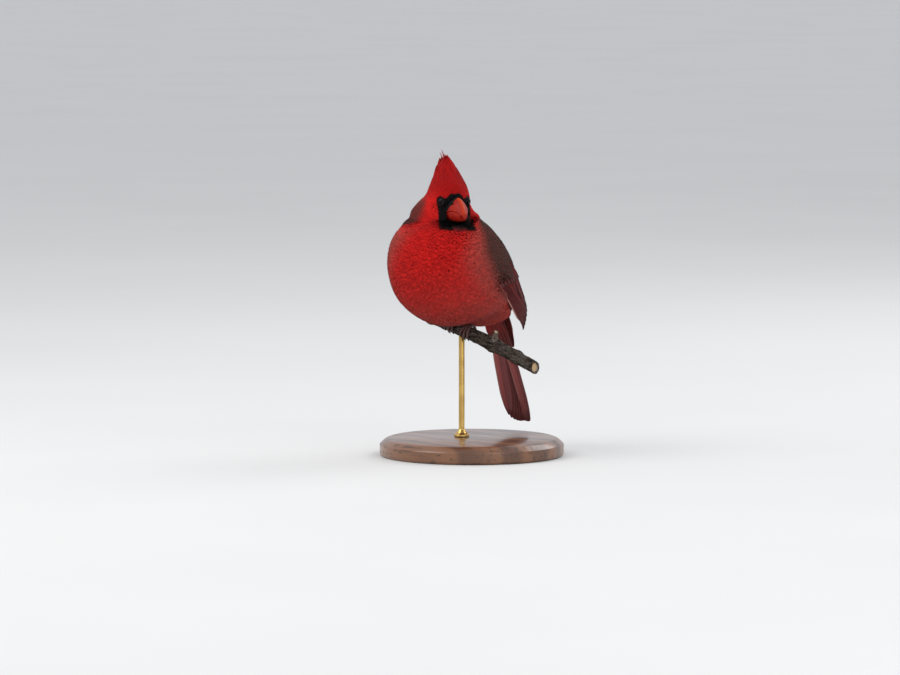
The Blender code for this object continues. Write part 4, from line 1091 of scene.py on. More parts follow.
def wing_trays():
    draw = random.Random(7)
    flight, coverts = FeatherTray(6), FeatherTray(4)

    def put(tray, pattern, path, outer, inner, curl=0.0, highlight_rim=0.0):
        length = math.dist(path[0][:2], path[-1][:2])
        points = sheet_feather(pattern, wing_at, path, outer, inner, curl)
        tray.add(pattern, points, ((outer + inner) / 2.0, length), draw.random(), highlight_rim)

    # the lowest primary gets a painted highlight along its outer rim
    for i, (tip_a, tip_b) in enumerate(PRIMARY_TIPS):
        h = LOWEST_LAYER + i * LAYER * 0.9
        put(flight, FLIGHT, [(0.006 + 0.0007 * i, -0.0040 + 0.00045 * i, 0.0012), (0.035, -0.0045 + 0.00055 * i, h),
                             (0.066, -0.0042 + 0.0009 * i, h), (tip_a, tip_b, h)], 0.0028, 0.0044,
            highlight_rim=1.0 if i == 0 else 0.0)
    for j in range(SECONDARIES):
        h = LOWEST_LAYER + (8.4 + 1.1 * j) * LAYER
        put(flight, FLIGHT, [(0.012, 0.001 + 0.0020 * j, 0.0020), (0.040, 0.0024 + 0.0018 * j, h),
                             (0.080 - 0.0008 * j, 0.0050 + 0.0011 * j, h * 0.6)], 0.0036, 0.0052)
    for k, (tip_a, tip_b) in enumerate(TERTIAL_TIPS):
        h = LOWEST_LAYER + (13.2 + 0.9 * k) * LAYER
        put(flight, FLIGHT, [(0.014, 0.009 + 0.002 * k, 0.0024), (0.038, 0.0092 + 0.0016 * k, h),
                             (tip_a, tip_b, h * 0.62)], 0.0042, 0.0054)
    for k in range(8):
        b = -0.0052 + 0.0024 * k
        edge = PANEL_FRONT + PANEL_SLANT * b
        top = float(np.interp(b, STACK_B, STACK_TOP)) + 0.0003
        put(coverts, COVERT, [(edge - 0.014, b, top * 0.6), (edge - 0.004, b, top), (edge + 0.0055, b + 0.0004, top + 0.0001)],
            0.0022, 0.0026)
    return flight, coverts


WING_RED = shade(104, 21, 22)
WING_DARK = shade(30, 13, 15)
WING_GREY = shade(80, 56, 53)
# colour of the painted highlight on the rims of the lowest wing feather and the outer tail feathers
HIGHLIGHT_EDGE = shade(186, 128, 118)


def long_feather_finish(name, red, dark, grey_share):
    finish = Finish(name, 0.72)
    finish.shader.inputs["Specular IOR Level"].default_value = 0.12
    across, along = finish.attribute("web_across"), finish.attribute("web_along")
    chance, highlight_rim = finish.attribute("chance"), finish.attribute("highlight_rim")
    barb_line = finish.math("ADD", finish.math("MULTIPLY", finish.math("ABSOLUTE", finish.flat_map("vane", 0)), 1.1),
                            finish.math("MULTIPLY", finish.flat_map("vane", 1), -1.0))
    barbs = finish.math("SINE", finish.math("MULTIPLY", barb_line, 190.0))
    streaks = finish.noise(30.0, 3.0, finish.node("CombineXYZ", {0: barb_line, 1: chance}).outputs[0], (3.0, 1.0, 1.0))
    inner = finish.ramp(across, -0.02, 0.20)
    tip = finish.ramp(along, 0.93, 1.0)
    colour = finish.mix(finish.ramp(streaks, 0.30, 0.72, 0.0, 0.30), red, dark)
    worn = finish.math("MAXIMUM", finish.math("MULTIPLY", finish.ramp(chance, 0.2, 0.9), grey_share),
                       finish.ramp(along, 0.45, 1.0, 0.0, grey_share * 4.0))
    colour = finish.mix(worn, colour, WING_GREY)
    colour = finish.mix(finish.math("MULTIPLY", finish.math("MAXIMUM", inner, tip), 0.70), colour, dark)
    shaft = finish.ramp(finish.math("ABSOLUTE", across), 0.035, 0.085, 1.0, 0.0)
    colour = finish.mix(finish.math("MULTIPLY", shaft, 0.75), colour, dark)
    # a painted shadow line along each feather's outer rim, where the next feather overlaps it; on feathers marked for
    # it, a painted highlight instead
    rim_shade_and_highlight = finish.ramp(finish.math("SUBTRACT", across, finish.math("MULTIPLY", highlight_rim, 0.20)), -0.97, -0.82, 1.0, 0.0)
    colour = finish.mix(finish.math("MULTIPLY", rim_shade_and_highlight, 0.85), colour, finish.mix(highlight_rim, dark, HIGHLIGHT_EDGE))
    finish.colour(colour)
    finish.bump(barbs, 0.00006, 0.5)
    return finish


flight_tray, covert_tray = wing_trays()
flight_finish = long_feather_finish("flight_finish", WING_RED, WING_DARK, 0.15)
for side, flip in (("left", False), ("right", True)):
    flight = flight_tray.piece("wing_" + side + "_flight_feathers", flip)
    coverts = covert_tray.piece("wing_" + side + "_coverts", flip)
    flight_finish.on(flight, coverts)
    belongs(flight, "wing_feathers", "wing_" + side)
    belongs(coverts, "wing_feathers")

# %% [markdown]
# The tail is twelve long feathers in a narrow fan that hangs behind the branch.  The
# middle pair lies on top at the back and each pair further out lies under the last, so
# from below all are seen.  Short coverts hide where they leave the body.

# %% The tail
TAIL_STACK_TOP = 0.0018
TAIL_LENGTHS = [0.0985, 0.0985, 0.0980, 0.0970, 0.0955, 0.0930]
TAIL_SPREAD = [0.0014, 0.0032, 0.0048, 0.0063, 0.0076, 0.0087]


def tail_trays():
    draw = random.Random(19)
    rectrices, coverts = FeatherTray(5), FeatherTray(6)
    layer = 0
    for i in range(6):
        for side in (1.0, -1.0):
            n = TAIL_STACK_TOP - layer * LAYER
            spread = TAIL_SPREAD[i] * side
            path = [(0.018, spread * 0.40, -0.0008), (0.058, spread * 0.76, n), (TAIL_LENGTHS[i], spread, n)]
            wide, narrow = 0.0058, 0.0042
            widths = (wide, narrow) if side > 0.0 else (narrow, wide)
            points = sheet_feather(FLIGHT, tail_at, path, *widths, arch=0.05)
            # the outermost pair gets a strong painted highlight along its rim, the others a faint one
            rectrices.add(FLIGHT, points, (0.005, 0.080), draw.random(), 0.6 if i == 5 else 0.1)
            layer += 1
    for row in range(3):
        for k in range(5):
            x = (k - 2) * 0.0030
            reach = 0.050 - 0.007 * row - abs(x) * 0.9 + draw.uniform(-0.0008, 0.0008)
            for back, front in ((-0.0044 - 0.0005 * row, -0.0019 - 0.0003 * row), (0.0034 + 0.0005 * row, 0.0023 + 0.0003 * row)):
                path = [(0.014, x * 0.8, back), (0.030, x, back * 0.5 + front * 0.5), (reach, x * 0.96, front)]
                coverts.add(COVERT, sheet_feather(COVERT, tail_at, path, 0.0030, 0.0030, arch=0.08),
                            (0.003, 0.030), draw.random())
    return rectrices, coverts


TAIL_RED = shade(162, 86, 85)
TAIL_DARK = shade(112, 66, 67)
rectrix_tray, tail_covert_tray = tail_trays()
tail_feathers = rectrix_tray.piece("tail_feathers")
tail_coverts = tail_covert_tray.piece("tail_coverts")
long_feather_finish("tail_finish", TAIL_RED, TAIL_DARK, 0.10).on(tail_feathers)
long_feather_finish("tail_covert_finish", shade(150, 38, 38), shade(112, 50, 46), 0.35).on(tail_coverts)
belongs(tail_feathers, "tail_feathers", "tail")
belongs(tail_coverts, "tail_feathers")

# %% [markdown]
# The crest is raised to a point that leans back.  Long, pointed plumes rise from the crown
# in tiers, each bent along the head's outline towards the peak, the rear ones loose.

# %% The crest
CREST_TIERS = [
    # level of the roots, level at the tips, count, half width, looseness
    (13.1, 14.9, 26, 0.0017, 0.0001), (13.6, 15.3, 24, 0.0016, 0.0001), (14.1, 15.7, 21, 0.0015, 0.0001),
    (14.5, 15.8, 18, 0.0013, 0.0002), (14.8, 15.95, 15, 0.0011, 0.0002), (15.0, 16.1, 11, 0.0009, 0.0002),
]
CREST_PEAK_ROOT = 15.1
CREST_PEAK = (-0.0104, -0.0004, 0.0311)
CREST_PEAK_PLUMES = 22
# Loose wisps beside the peak, each by its tip's place forward, to the side and up, and half width
CREST_WISPS = [(-0.0140, -0.0028, 0.0345, 0.0005), (-0.0150, -0.0036, 0.0322, 0.0005),
               (-0.0140, -0.0018, 0.0325, 0.0006), (-0.0135, -0.0006, 0.0315, 0.0008)]


def crest_tray():
    draw = random.Random(23)
    tray = FeatherTray(12)
    shape, faces = PLUME
    x, y, z = shape.T
    for low, high, count, half, loose in CREST_TIERS:
        turn = draw.uniform(0.0, 1.0)
        for k in range(count):
            angle = 2.0 * math.pi * (k + turn + draw.uniform(-0.3, 0.3)) / count
            rear = 0.5 - 0.5 * math.cos(angle)
            level = low + (high - low) * (1.0 + 0.08 * rear + draw.uniform(-0.12, 0.12)) * y
            row = ring_at(level)
            girth = np.maximum(np.linalg.norm(row[:, 6:9], axis=1), 0.0016)
            points = body_at(level, angle + np.clip(x * half / girth, -0.55, 0.55))
            out = unit(points - row[:, 0:3])
            rise = -0.0009 * np.maximum(1.0 - y, 0.0) ** 1.5 + (loose + draw.uniform(0.0, 0.0003)) * y ** 2 * (0.6 + rear)
            points = points + out * (rise + z * half * 0.5 - 0.10 * half * x * x)[:, None]
            tray.add(PLUME, points, (half, 0.012), draw.random())
    middle = ring_at(np.array([CREST_PEAK_ROOT]))[0, :3]
    paths = [(middle, in_head(*place), HEAD_F, half) for *place, half in CREST_WISPS]
    for k in range(CREST_PEAK_PLUMES):
        angle = 2.0 * math.pi * (k + draw.uniform(-0.2, 0.2)) / CREST_PEAK_PLUMES
        root = body_at(np.array([CREST_PEAK_ROOT - draw.uniform(0.0, 0.5)]), np.array([angle]), 0.0002)[0]
        tip = in_head(*[value + draw.uniform(-0.0005, 0.0005) for value in CREST_PEAK])
        paths.append((root, tip - HEAD_U * draw.uniform(0.0, 0.0022), root - middle, 0.0015))
    for root, tip, outward, half in paths:
        run = tip - root
        across = unit(np.cross(run, outward))
        ahead = np.cross(across, unit(run))
        points = root + np.outer(y, run) + np.outer(x * half, across)
        points = points + np.outer(z * half * 0.4 + 0.0005 * np.sin(math.pi * y) - 0.15 * half * x * x, ahead)
        tray.add(PLUME, points, (half, 0.009), draw.random())
    return tray


crest_plumes = crest_tray().piece("crest_plumes")
crest_points = points_of(crest_plumes) - BIRD_ORIGIN
crest_finish = Finish("crest_finish", 0.84, Sheen_Weight=0.02, Sheen_Roughness=0.4)
crest_finish.shader.inputs["Specular IOR Level"].default_value = 0.1
barb = crest_finish.flat_map("vane", 1)
strand = crest_finish.noise(60.0, 2.0, crest_finish.node("CombineXYZ", {
    0: crest_finish.flat_map("vane", 0), 1: crest_finish.attribute("chance")}).outputs[0], (14.0, 9.0, 1.0))
crest_colour = crest_finish.mix(crest_finish.ramp(strand, 0.35, 0.65), CREST_RED, shade(138, 12, 14))
crest_colour = crest_finish.mix(1.0, crest_colour, crest_finish.ramp(crest_finish.attribute("chance"), 0.0, 1.0, 0.82, 1.0),
                                "MULTIPLY")
crest_finish.colour(crest_colour)
crest_finish.bump(strand, 0.0001, 0.5)
crest_finish.on(crest_plumes)
belongs(crest_plumes, "crest_feathers", "crest")

# %% [markdown]
# The bill is a short, heavy cone with a curved ridge, a mouth line that turns down at its
# corner, and a small nostril near the root on each side.  Each half is a bent grid: its
# rounded outer wall runs over the ridge and its flat inner wall closes it.  The upper half
# overhangs the lower, and the hairline gap between them is the mouth line.

# %% The bill
# Rows: forward, ridge height, mouth height, lower edge height, half width
BILL_ROWS = np.array([
    (0.0121, 0.0060, -0.0046, -0.0093, 0.0079),
    (0.0145, 0.0064, -0.0029, -0.0096, 0.0071),
    (0.0175, 0.0060, -0.0021, -0.0094, 0.0061),
    (0.0205, 0.0046, -0.0019, -0.0087, 0.0050),
    (0.0235, 0.0023, -0.0021, -0.0077, 0.0038),
    (0.0260, -0.0002, -0.0028, -0.0065, 0.0027),
    (0.0278, -0.0024, -0.0039, -0.0054, 0.0016),
    (0.0291, -0.0050, -0.0058, -0.0050, 0.0006),
])
MOUTH_GAP = 0.0003
NOSTRIL = (0.0160, 0.0024)
NOSTRIL_LONG = 0.0010
NOSTRIL_HIGH = 0.0006
NOSTRIL_DEEP = 0.0007


def bill_row(forward):
    xs = BILL_ROWS[:, 0]
    slopes = np.gradient(BILL_ROWS[:, 1:], xs, axis=0)
    i = np.clip(np.searchsorted(xs, forward) - 1, 0, len(xs) - 2)
    gap = xs[i + 1] - xs[i]
    u = ((forward - xs[i]) / gap)[:, None]
    low, high = BILL_ROWS[i, 1:], BILL_ROWS[i + 1, 1:]
    bend_low, bend_high = slopes[i] * gap[:, None], slopes[i + 1] * gap[:, None]
    return (low * (2 * u ** 3 - 3 * u ** 2 + 1) + bend_low * (u ** 3 - 2 * u ** 2 + u)
            + high * (3 * u ** 2 - 2 * u ** 3) + bend_high * (u ** 3 - u ** 2))


def bill_half(upper):
    last = BILL_ROWS[-1, 0] if upper else BILL_ROWS[5, 0] + 0.0008

    def place(across, along):
        forward = BILL_ROWS[0, 0] + (last - BILL_ROWS[0, 0]) * along
        ridge, mouth, low, half = bill_row(forward).T
        if upper:
            edge, rise, half = mouth + MOUTH_GAP / 2.0, ridge - mouth, half * 1.0
        else:
            closing = np.sqrt(np.clip(1.0 - ease(0.72, 1.0, along) ** 2, 0.02, 1.0))
            edge, rise, half = mouth - MOUTH_GAP / 2.0, (low - mouth) * closing, half * 0.96
        outer = across < 0.72
        a = math.pi * across / 0.72
        back = (across - 0.72) / 0.28
        peak, flank = (1.40, 1.40) if upper else (0.60, 0.60)
        s = np.where(outer, np.sign(np.cos(a)) * np.abs(np.cos(a)) ** flank * half, (2.0 * back - 1.0) * half)
        u = np.where(outer, edge + rise * np.abs(np.sin(a)) ** peak, edge + 0.10 * rise * (4.0 * back * (1.0 - back)))
        if upper:
            pit = np.exp(-((forward - NOSTRIL[0]) / NOSTRIL_LONG) ** 2 - ((u - NOSTRIL[1]) / NOSTRIL_HIGH) ** 2)
            s = s - np.sign(s) * np.where(outer, pit * NOSTRIL_DEEP, 0.0)
        return in_head(0.0, 0.0, 0.0) + np.outer(forward, HEAD_F) + np.outer(s, HEAD_S) + np.outer(u, HEAD_U) + BIRD_ORIGIN

    return bent_grid("bill_upper_horn" if upper else "bill_lower_horn", 72, 60, place)


def head_axis_map(finish):
    origin = Vector(BIRD_ORIGIN + HEAD_CENTRE)
    parts = []
    for axis in (HEAD_F, HEAD_S, HEAD_U):
        away = finish.node("VectorMath", {0: finish.place(), 1: origin}, operation="SUBTRACT").outputs[0]
        parts.append(finish.node("VectorMath", {0: away, 1: tuple(axis)}, operation="DOT_PRODUCT").outputs["Value"])
    return parts


BILL_RED = shade(142, 22, 18)
# pale horn for the growth streaks, also used for the painted ridge highlight
BILL_PALE_AND_HIGHLIGHT = shade(190, 62, 24)
BILL_DEEP = shade(106, 18, 17)
bill_finish = Finish("bill_horn_finish", 0.44)
bill_finish.shader.inputs["Specular IOR Level"].default_value = 0.10
bill_finish.shader.inputs["Subsurface Weight"].default_value = 0.08
bill_finish.shader.inputs["Subsurface Radius"].default_value = (0.0016, 0.0006, 0.0003)
forward, sideways, upward = head_axis_map(bill_finish)
growth = bill_finish.noise(420.0, 3.0)
colour = bill_finish.mix(bill_finish.ramp(growth, 0.35, 0.7, 0.0, 0.3), BILL_RED, BILL_PALE_AND_HIGHLIGHT)
# painted highlight along the ridge of the upper bill
painted_ridge_highlight = bill_finish.math("MULTIPLY", bill_finish.ramp(bill_finish.math("ABSOLUTE", sideways), 0.0002, 0.0022, 1.0, 0.0),
                               bill_finish.ramp(upward, -0.006, 0.000))
colour = bill_finish.mix(bill_finish.math("MULTIPLY", painted_ridge_highlight, 0.70), colour, BILL_PALE_AND_HIGHLIGHT)
colour = bill_finish.mix(bill_finish.ramp(forward, 0.0262, 0.0292, 0.0, 0.5), colour, BILL_DEEP)
colour = bill_finish.mix(bill_finish.ramp(forward, 0.0118, 0.0136, 0.6, 0.0), colour, BILL_DEEP)
nostril_away = bill_finish.math("ADD",
                                bill_finish.math("POWER", bill_finish.math("ABSOLUTE", bill_finish.math("DIVIDE", bill_finish.math(
                                    "SUBTRACT", forward, NOSTRIL[0]), NOSTRIL_LONG)), 2.0),
                                bill_finish.math("POWER", bill_finish.math("ABSOLUTE", bill_finish.math("DIVIDE", bill_finish.math(
                                    "SUBTRACT", upward, NOSTRIL[1]), NOSTRIL_HIGH)), 2.0))
# painted shade inside the nostril opening
colour = bill_finish.mix(bill_finish.ramp(nostril_away, 0.25, 1.1, 0.85, 0.0), colour, shade(40, 14, 12))
bill_finish.colour(colour)
bill_finish.roughness(bill_finish.ramp(growth, 0.3, 0.7, 0.34, 0.48))
bill_finish.bump(bill_finish.noise(700.0, 4.0, stretch=(1.0, 1.0, 0.4)), 0.00008, 0.5)
upper_horn, lower_horn = bill_half(True), bill_half(False)
bill_finish.on(upper_horn, lower_horn)
belongs(upper_horn, "bill_horn", "bill_upper")
belongs(lower_horn, "bill_horn", "bill_lower")

# %% [markdown]
# Short black feathers point forward over the root of the bill, furthest along the ridge,
# so the horn comes out of them along a slanting line.  They are small feathers laid on the
# bill's own wall, in rows from the front one back.

# %% Bristles over the bill's root
BRISTLE_ROOT = 0.0102
BRISTLE_TIP_LOW = 0.0122
BRISTLE_TIP_RIDGE = 0.0176
BRISTLE_ROWS = [(1.0, 56, 0.00005), (0.82, 52, 0.00020), (0.64, 48, 0.00035)]


def bill_wall(forward, turn, lift):
    """Places on the bill's outer wall: turn 0 at the left of the mouth, a quarter at the ridge."""
    ridge, mouth, low, half = bill_row(forward).T
    above = np.sin(turn) > 0.0
    s = np.sign(np.cos(turn)) * np.abs(np.cos(turn)) ** np.where(above, 1.40, 0.60) * (half + lift)
    rise = np.where(above, ridge - mouth + lift, low - mouth - lift)
    u = mouth + rise * np.abs(np.sin(turn)) ** np.where(above, 1.40, 0.60)
    return in_head(0.0, 0.0, 0.0) + np.outer(forward, HEAD_F) + np.outer(s, HEAD_S) + np.outer(u, HEAD_U)


def bill_bristles():
    draw = random.Random(31)
    corners, facing, faces_of, vane, bake = [], [], [], [], []
    numbers = {key: [] for key in ("black", "mantle", "flank", "crest", "chance")}
    start = 0
    for reach, count, lift in BRISTLE_ROWS:
        for k in range(count):
            shape, faces = FACE_PATTERNS[draw.randrange(len(FACE_PATTERNS))]
            x, y, z = shape.T
            turn = math.pi * (k + 0.5 + draw.uniform(-0.3, 0.3)) / count
            tip = BRISTLE_TIP_LOW + (BRISTLE_TIP_RIDGE - BRISTLE_TIP_LOW) * math.sin(turn) ** 0.55
            tip = BRISTLE_ROOT + (tip - BRISTLE_ROOT) * (reach + draw.uniform(-0.08, 0.04))
            forward = BRISTLE_ROOT + (tip - BRISTLE_ROOT) * y
            places = bill_wall(forward, turn + x * 0.07, lift * (1.0 - 0.8 * y) + z * 0.00006 + 0.00006)
            corners.append(places)
            facing.append(unit(places - in_head(0.0130, 0.0, BILL_MIDDLE)))
            faces_of.append(faces + start)
            start += len(places)
            for key, values in numbers.items():
                values.append(np.full(len(places), {"black": 1.0, "chance": draw.random()}.get(key, 0.0)))
            vane.append(shape[:, :2] * (0.5, 1.0) + (0.5, 0.0))
            home_level, home_angle = 11.4 + 1.2 * math.sin(turn), 0.5 * math.cos(turn)
            bake.append(bake_patches(np.array([home_level]), np.array([home_angle]), shape))
    return coat_piece("bill_bristles", corners, facing, faces_of, numbers, vane, bake)


bristles = bill_bristles()
coat_finish.on(bristles)
belongs(bristles, "body_feathers")

# %% [markdown]
# Each eye is a glossy ball with a dark brown iris and a black pupil, sunk in its socket,
# and two lids close round it.  The lids are one ring, pinched at its front and back
# corners, so the eye looks out of an almond and not out of a hole.

# %% Eyes and lids
LID_OUT = 0.00215
LID_RING = 0.00262
LID_WIRE = 0.00052
LID_PINCH = 0.84


def settle(piece, facing, place):
    """Turns the mesh so that its own Z looks along facing, and moves it to its place."""
    turn = Vector(facing).to_track_quat("Z", "Y").to_matrix().to_4x4()
    piece.data.transform(Matrix.Translation(Vector(place)) @ turn)
    only(piece)
    bpy.ops.object.shade_smooth()


def round_eye(name, side):
    centre, look = eye_place(side)
    only(None)
    bpy.ops.mesh.primitive_uv_sphere_add(segments=48, ring_count=32, radius=EYE_RADIUS)
    eye = bpy.context.object
    eye.name = name
    local = points_of(eye)
    away = np.linalg.norm(local[:, :2], axis=1) / EYE_RADIUS
    local[:, 2] += np.where(local[:, 2] > 0.0, 0.00022 * (1.0 - ease(0.0, 0.62, away)), 0.0)
    set_points(eye, local)
    put_numbers(eye, "from_pupil", np.where(local[:, 2] > 0.0, away, 1.5))
    settle(eye, look, centre + BIRD_ORIGIN)
    return eye


def lid_ring(name, side):
    centre, look = eye_place(side)
    only(None)
    bpy.ops.mesh.primitive_torus_add(major_segments=56, minor_segments=14, major_radius=LID_RING, minor_radius=LID_WIRE)
    lid = bpy.context.object
    lid.name = name
    local = points_of(lid)
    turn = Vector(look).to_track_quat("Z", "Y").to_matrix()
    front = np.array(turn.transposed() @ Vector(HEAD_F))[:2]
    front = front / np.linalg.norm(front)
    along = local[:, :2] @ front
    across = local[:, :2] @ np.array((-front[1], front[0]))
    corner = np.abs(along) / LID_RING
    across = across * (1.0 - (1.0 - LID_PINCH) * (0.35 + 0.65 * corner ** 2))
    along = along * (1.0 + 0.10 * ease(0.6, 1.0, corner))
    local[:, :2] = np.outer(along, front) + np.outer(across, (-front[1], front[0]))
    wrinkle = [noise.noise(Vector(p) * 2200.0) for p in local]
    local[:, 2] += np.array(wrinkle) * 0.00005 - 0.00030 * ease(0.75, 1.1, corner)
    set_points(lid, local)
    settle(lid, look, centre + look * LID_OUT + BIRD_ORIGIN)
    return lid


eye_finish = Finish("eye_gloss", 0.07)
eye_finish.shader.inputs["Specular IOR Level"].default_value = 0.10
from_pupil = eye_finish.attribute("from_pupil")
rays = eye_finish.noise(1500.0, 3.0)
iris = eye_finish.mix(rays, shade(26, 14, 10), shade(14, 8, 7))
colour = eye_finish.mix(eye_finish.ramp(from_pupil, 0.40, 0.47), shade(4, 4, 5), iris)
colour = eye_finish.mix(eye_finish.ramp(from_pupil, 0.74, 0.84), colour, shade(9, 7, 8))
eye_finish.colour(colour)
lid_finish = Finish("lid_skin", 0.6)
lid_finish.shader.inputs["Specular IOR Level"].default_value = 0.15
lid_wrinkles = lid_finish.noise(2600.0, 4.0)
lid_finish.colour(lid_finish.mix(lid_wrinkles, shade(11, 9, 9), shade(20, 16, 16)))
lid_finish.bump(lid_wrinkles, 0.00006, 0.8)
for side_name, side in (("left", 1.0), ("right", -1.0)):
    eye = round_eye("glossy_eye_" + side_name, side)
    eye_finish.on(eye)
    belongs(eye, "eye_dark", "eye_" + side_name)
    lid = lid_ring("eyelid_" + side_name, side)
    lid_finish.on(lid)
    belongs(lid, "leg_scale")

# %% [markdown]
# The branch is a real cut stick: round, a little crooked, knotted where twigs came off,
# with bark that is cracked along its length and pocked across it.  Its skin is a bent grid
# pushed in and out by noise.  At both ends the saw left pale wood with rings.

# %% The branch
PERCH_Y = 0.017
PERCH_Z = -0.0405
PERCH_SLOPE = -0.27
PERCH_BEND = -0.9
PERCH_FROM = -0.038
PERCH_TO = 0.066
PERCH_RADIUS = 0.0043
PERCH_KNOTS = [(-0.027, 0.0010, 0.0030), (0.029, 0.0011, 0.0032), (0.050, 0.0009, 0.0028)]
FOOT_X = 0.007
BARK_DEPTH = 0.00030
END_TILTS = (0.35, -0.4)


def perch_at(x):
    x = np.asarray(x, float)
    fall = PERCH_BEND * np.maximum(0.0, x) ** 2
    return np.stack([x, np.full_like(x, PERCH_Y), PERCH_Z + PERCH_SLOPE * x + fall], axis=-1)


def perch_radius(x):
    radius = PERCH_RADIUS - 0.0005 * ease(-0.00, 1.0, (x - 0.02) / 0.05)
    for at, rise, width in PERCH_KNOTS:
        radius = radius + rise * np.exp(-((x - at) / width) ** 2)
    return radius


def bark_relief(x, angle, radius):
    relief = np.empty(len(x))
    for k in range(len(x)):
        turn = (math.cos(angle[k]), math.sin(angle[k]))
        crack = noise.fractal(Vector((x[k] * 190.0, turn[0] * 3.2, turn[1] * 3.2)), 0.8, 2.1, 4)
        plate = noise.noise(Vector((x[k] * 420.0, turn[0] * 5.5 + 7.0, turn[1] * 5.5)))
        pock = max(0.0, noise.noise(Vector((x[k] * 700.0, turn[0] * 2.4, turn[1] * 2.4 + 9.0))) - 0.25)
        relief[k] = 0.65 * crack + 0.25 * plate + 1.1 * pock
    return relief * BARK_DEPTH


def stick(name, centre_at, radius_at, length, columns, rows, tilts, grip=None):
    def place(across, along):
        angle = across * 2.0 * math.pi
        centre, ahead = centre_at(along)
        side = unit(np.cross(ahead, (0.0, 1.0, 0.0)))
        top = np.cross(side, ahead)
        radius = radius_at(along)
        relief = bark_relief(along * length, angle, radius)
        if grip is not None:
            relief = np.where(grip(along), np.minimum(relief, 0.0) - 0.00002, relief)
        tilt = np.where(along < 0.02, tilts[0] * (1.0 - along / 0.02), 0.0)
        tilt = tilt + np.where(along > 0.98, tilts[1] * (along - 0.98) / 0.02, 0.0)
        out = side * np.cos(angle)[:, None] + top * np.sin(angle)[:, None]
        shift = ahead * (radius * tilt * np.cos(angle))[:, None]
        return centre + out * (radius + relief)[:, None] + shift + BIRD_ORIGIN

    piece = bent_grid(name, columns, rows, place)
    only(piece)
    ends = np.array([len(p.vertices) > 4 for p in piece.data.polygons])
    piece.data.polygons.foreach_set("select", ends)
    bpy.ops.object.mode_set(mode="EDIT")
    bpy.ops.mesh.select_mode(type="FACE")
    end_radius = float(radius_at(np.array([1.0]))[0])
    bpy.ops.mesh.inset(thickness=0.06 * end_radius, depth=-0.00006, use_individual=True)
    bpy.ops.mesh.inset(thickness=0.30 * end_radius, depth=-0.00004, use_individual=True)
    leave_edit()
    return piece


def branch_centre(along):
    x = PERCH_FROM + (PERCH_TO - PERCH_FROM) * along
    return perch_at(x), unit(perch_at(x + 0.001) - perch_at(x - 0.001))


def branch_radius(along):
    return perch_radius(PERCH_FROM + (PERCH_TO - PERCH_FROM) * along)


def under_toes(along):
    x = PERCH_FROM + (PERCH_TO - PERCH_FROM) * along
    return np.abs(np.abs(x) - FOOT_X) < 0.0066


def twig_stub(name, start, middle, end, radii, tilt):
    start, middle, end = [np.asarray(p, float) for p in (start, middle, end)]

    def centre(along):
        s = along[:, None]
        point = start * (1 - s) ** 2 + 2.0 * middle * s * (1 - s) + end * s ** 2
        return point, unit(2.0 * ((middle - start) * (1 - s) + (end - middle) * s))

    return stick(name, centre, lambda along: np.interp(along, (0.0, 0.5, 1.0), radii), 0.012, 28, 40, (0.0, tilt))


BARK_BROWN = shade(122, 106, 94)
BARK_GREY = shade(158, 150, 140)
BARK_DARK = shade(66, 55, 48)
bark_finish = Finish("bark_finish", 0.88)
bark_finish.shader.inputs["Specular IOR Level"].default_value = 0.25
long_grain = bark_finish.noise(520.0, 5.0, stretch=(0.28, 1.0, 1.0), roughness=0.62)
lichen = bark_finish.noise(110.0, 4.0)
speck = bark_finish.noise(1500.0, 2.0)
colour = bark_finish.mix(bark_finish.ramp(lichen, 0.42, 0.66), BARK_BROWN, BARK_GREY)
colour = bark_finish.mix(bark_finish.ramp(long_grain, 0.36, 0.52, 0.85, 0.0), colour, BARK_DARK)
colour = bark_finish.mix(bark_finish.ramp(speck, 0.64, 0.74, 0.0, 0.6), colour, shade(172, 160, 146))
bark_finish.colour(colour)
bark_finish.roughness(bark_finish.ramp(lichen, 0.3, 0.7, 0.80, 0.95))
bark_finish.bump(long_grain, 0.00035, 0.9)

cut_finish = Finish("cut_wood_finish", 0.78)
end_middle = Vector(perch_at(np.array([PERCH_TO]))[0] + BIRD_ORIGIN)
from_pith = cut_finish.node("VectorMath", {0: cut_finish.place(), 1: end_middle}, operation="DISTANCE").outputs["Value"]
wobble = cut_finish.math("MULTIPLY", cut_finish.noise(700.0, 2.0), 0.0004)
rings = cut_finish.math("SINE", cut_finish.math("MULTIPLY", cut_finish.math("ADD", from_pith, wobble), 13000.0))
colour = cut_finish.mix(cut_finish.ramp(rings, -0.6, 0.9), shade(196, 168, 128), shade(164, 130, 90))
colour = cut_finish.mix(cut_finish.ramp(cut_finish.noise(2400.0, 2.0), 0.55, 0.75, 0.0, 0.4), colour, shade(120, 92, 64))
cut_finish.colour(colour)
cut_finish.bump(rings, 0.00005, 0.5)


def bark_and_cuts(piece):
    bark_finish.on(piece)
    piece.data.materials.append(cut_finish.material)
    wide = np.array([len(p.vertices) > 4 for p in piece.data.polygons])
    piece.data.polygons.foreach_set("material_index", wide.astype(np.int32))


branch = stick("perch_bark", branch_centre, branch_radius, PERCH_TO - PERCH_FROM, 52, 200, END_TILTS, under_toes)
knot = perch_at(np.array([0.029]))[0]
upper_twig = twig_stub("perch_twig_upper", knot, knot + (0.0045, -0.0035, 0.0062), knot + (0.0062, -0.0042, 0.0092),
                       (0.0026, 0.0019, 0.0017), 0.3)
knot = perch_at(np.array([0.050]))[0]
lower_twig = twig_stub("perch_twig_lower", knot, knot + (0.0040, 0.0048, -0.0044), knot + (0.0066, 0.0070, -0.0060),
                       (0.0024, 0.0017, 0.0015), -0.3)
for piece in (branch, upper_twig, lower_twig):
    bark_and_cuts(piece)
belongs(branch, "bark", "perch")
belongs(upper_twig, "bark")
belongs(lower_twig, "bark")

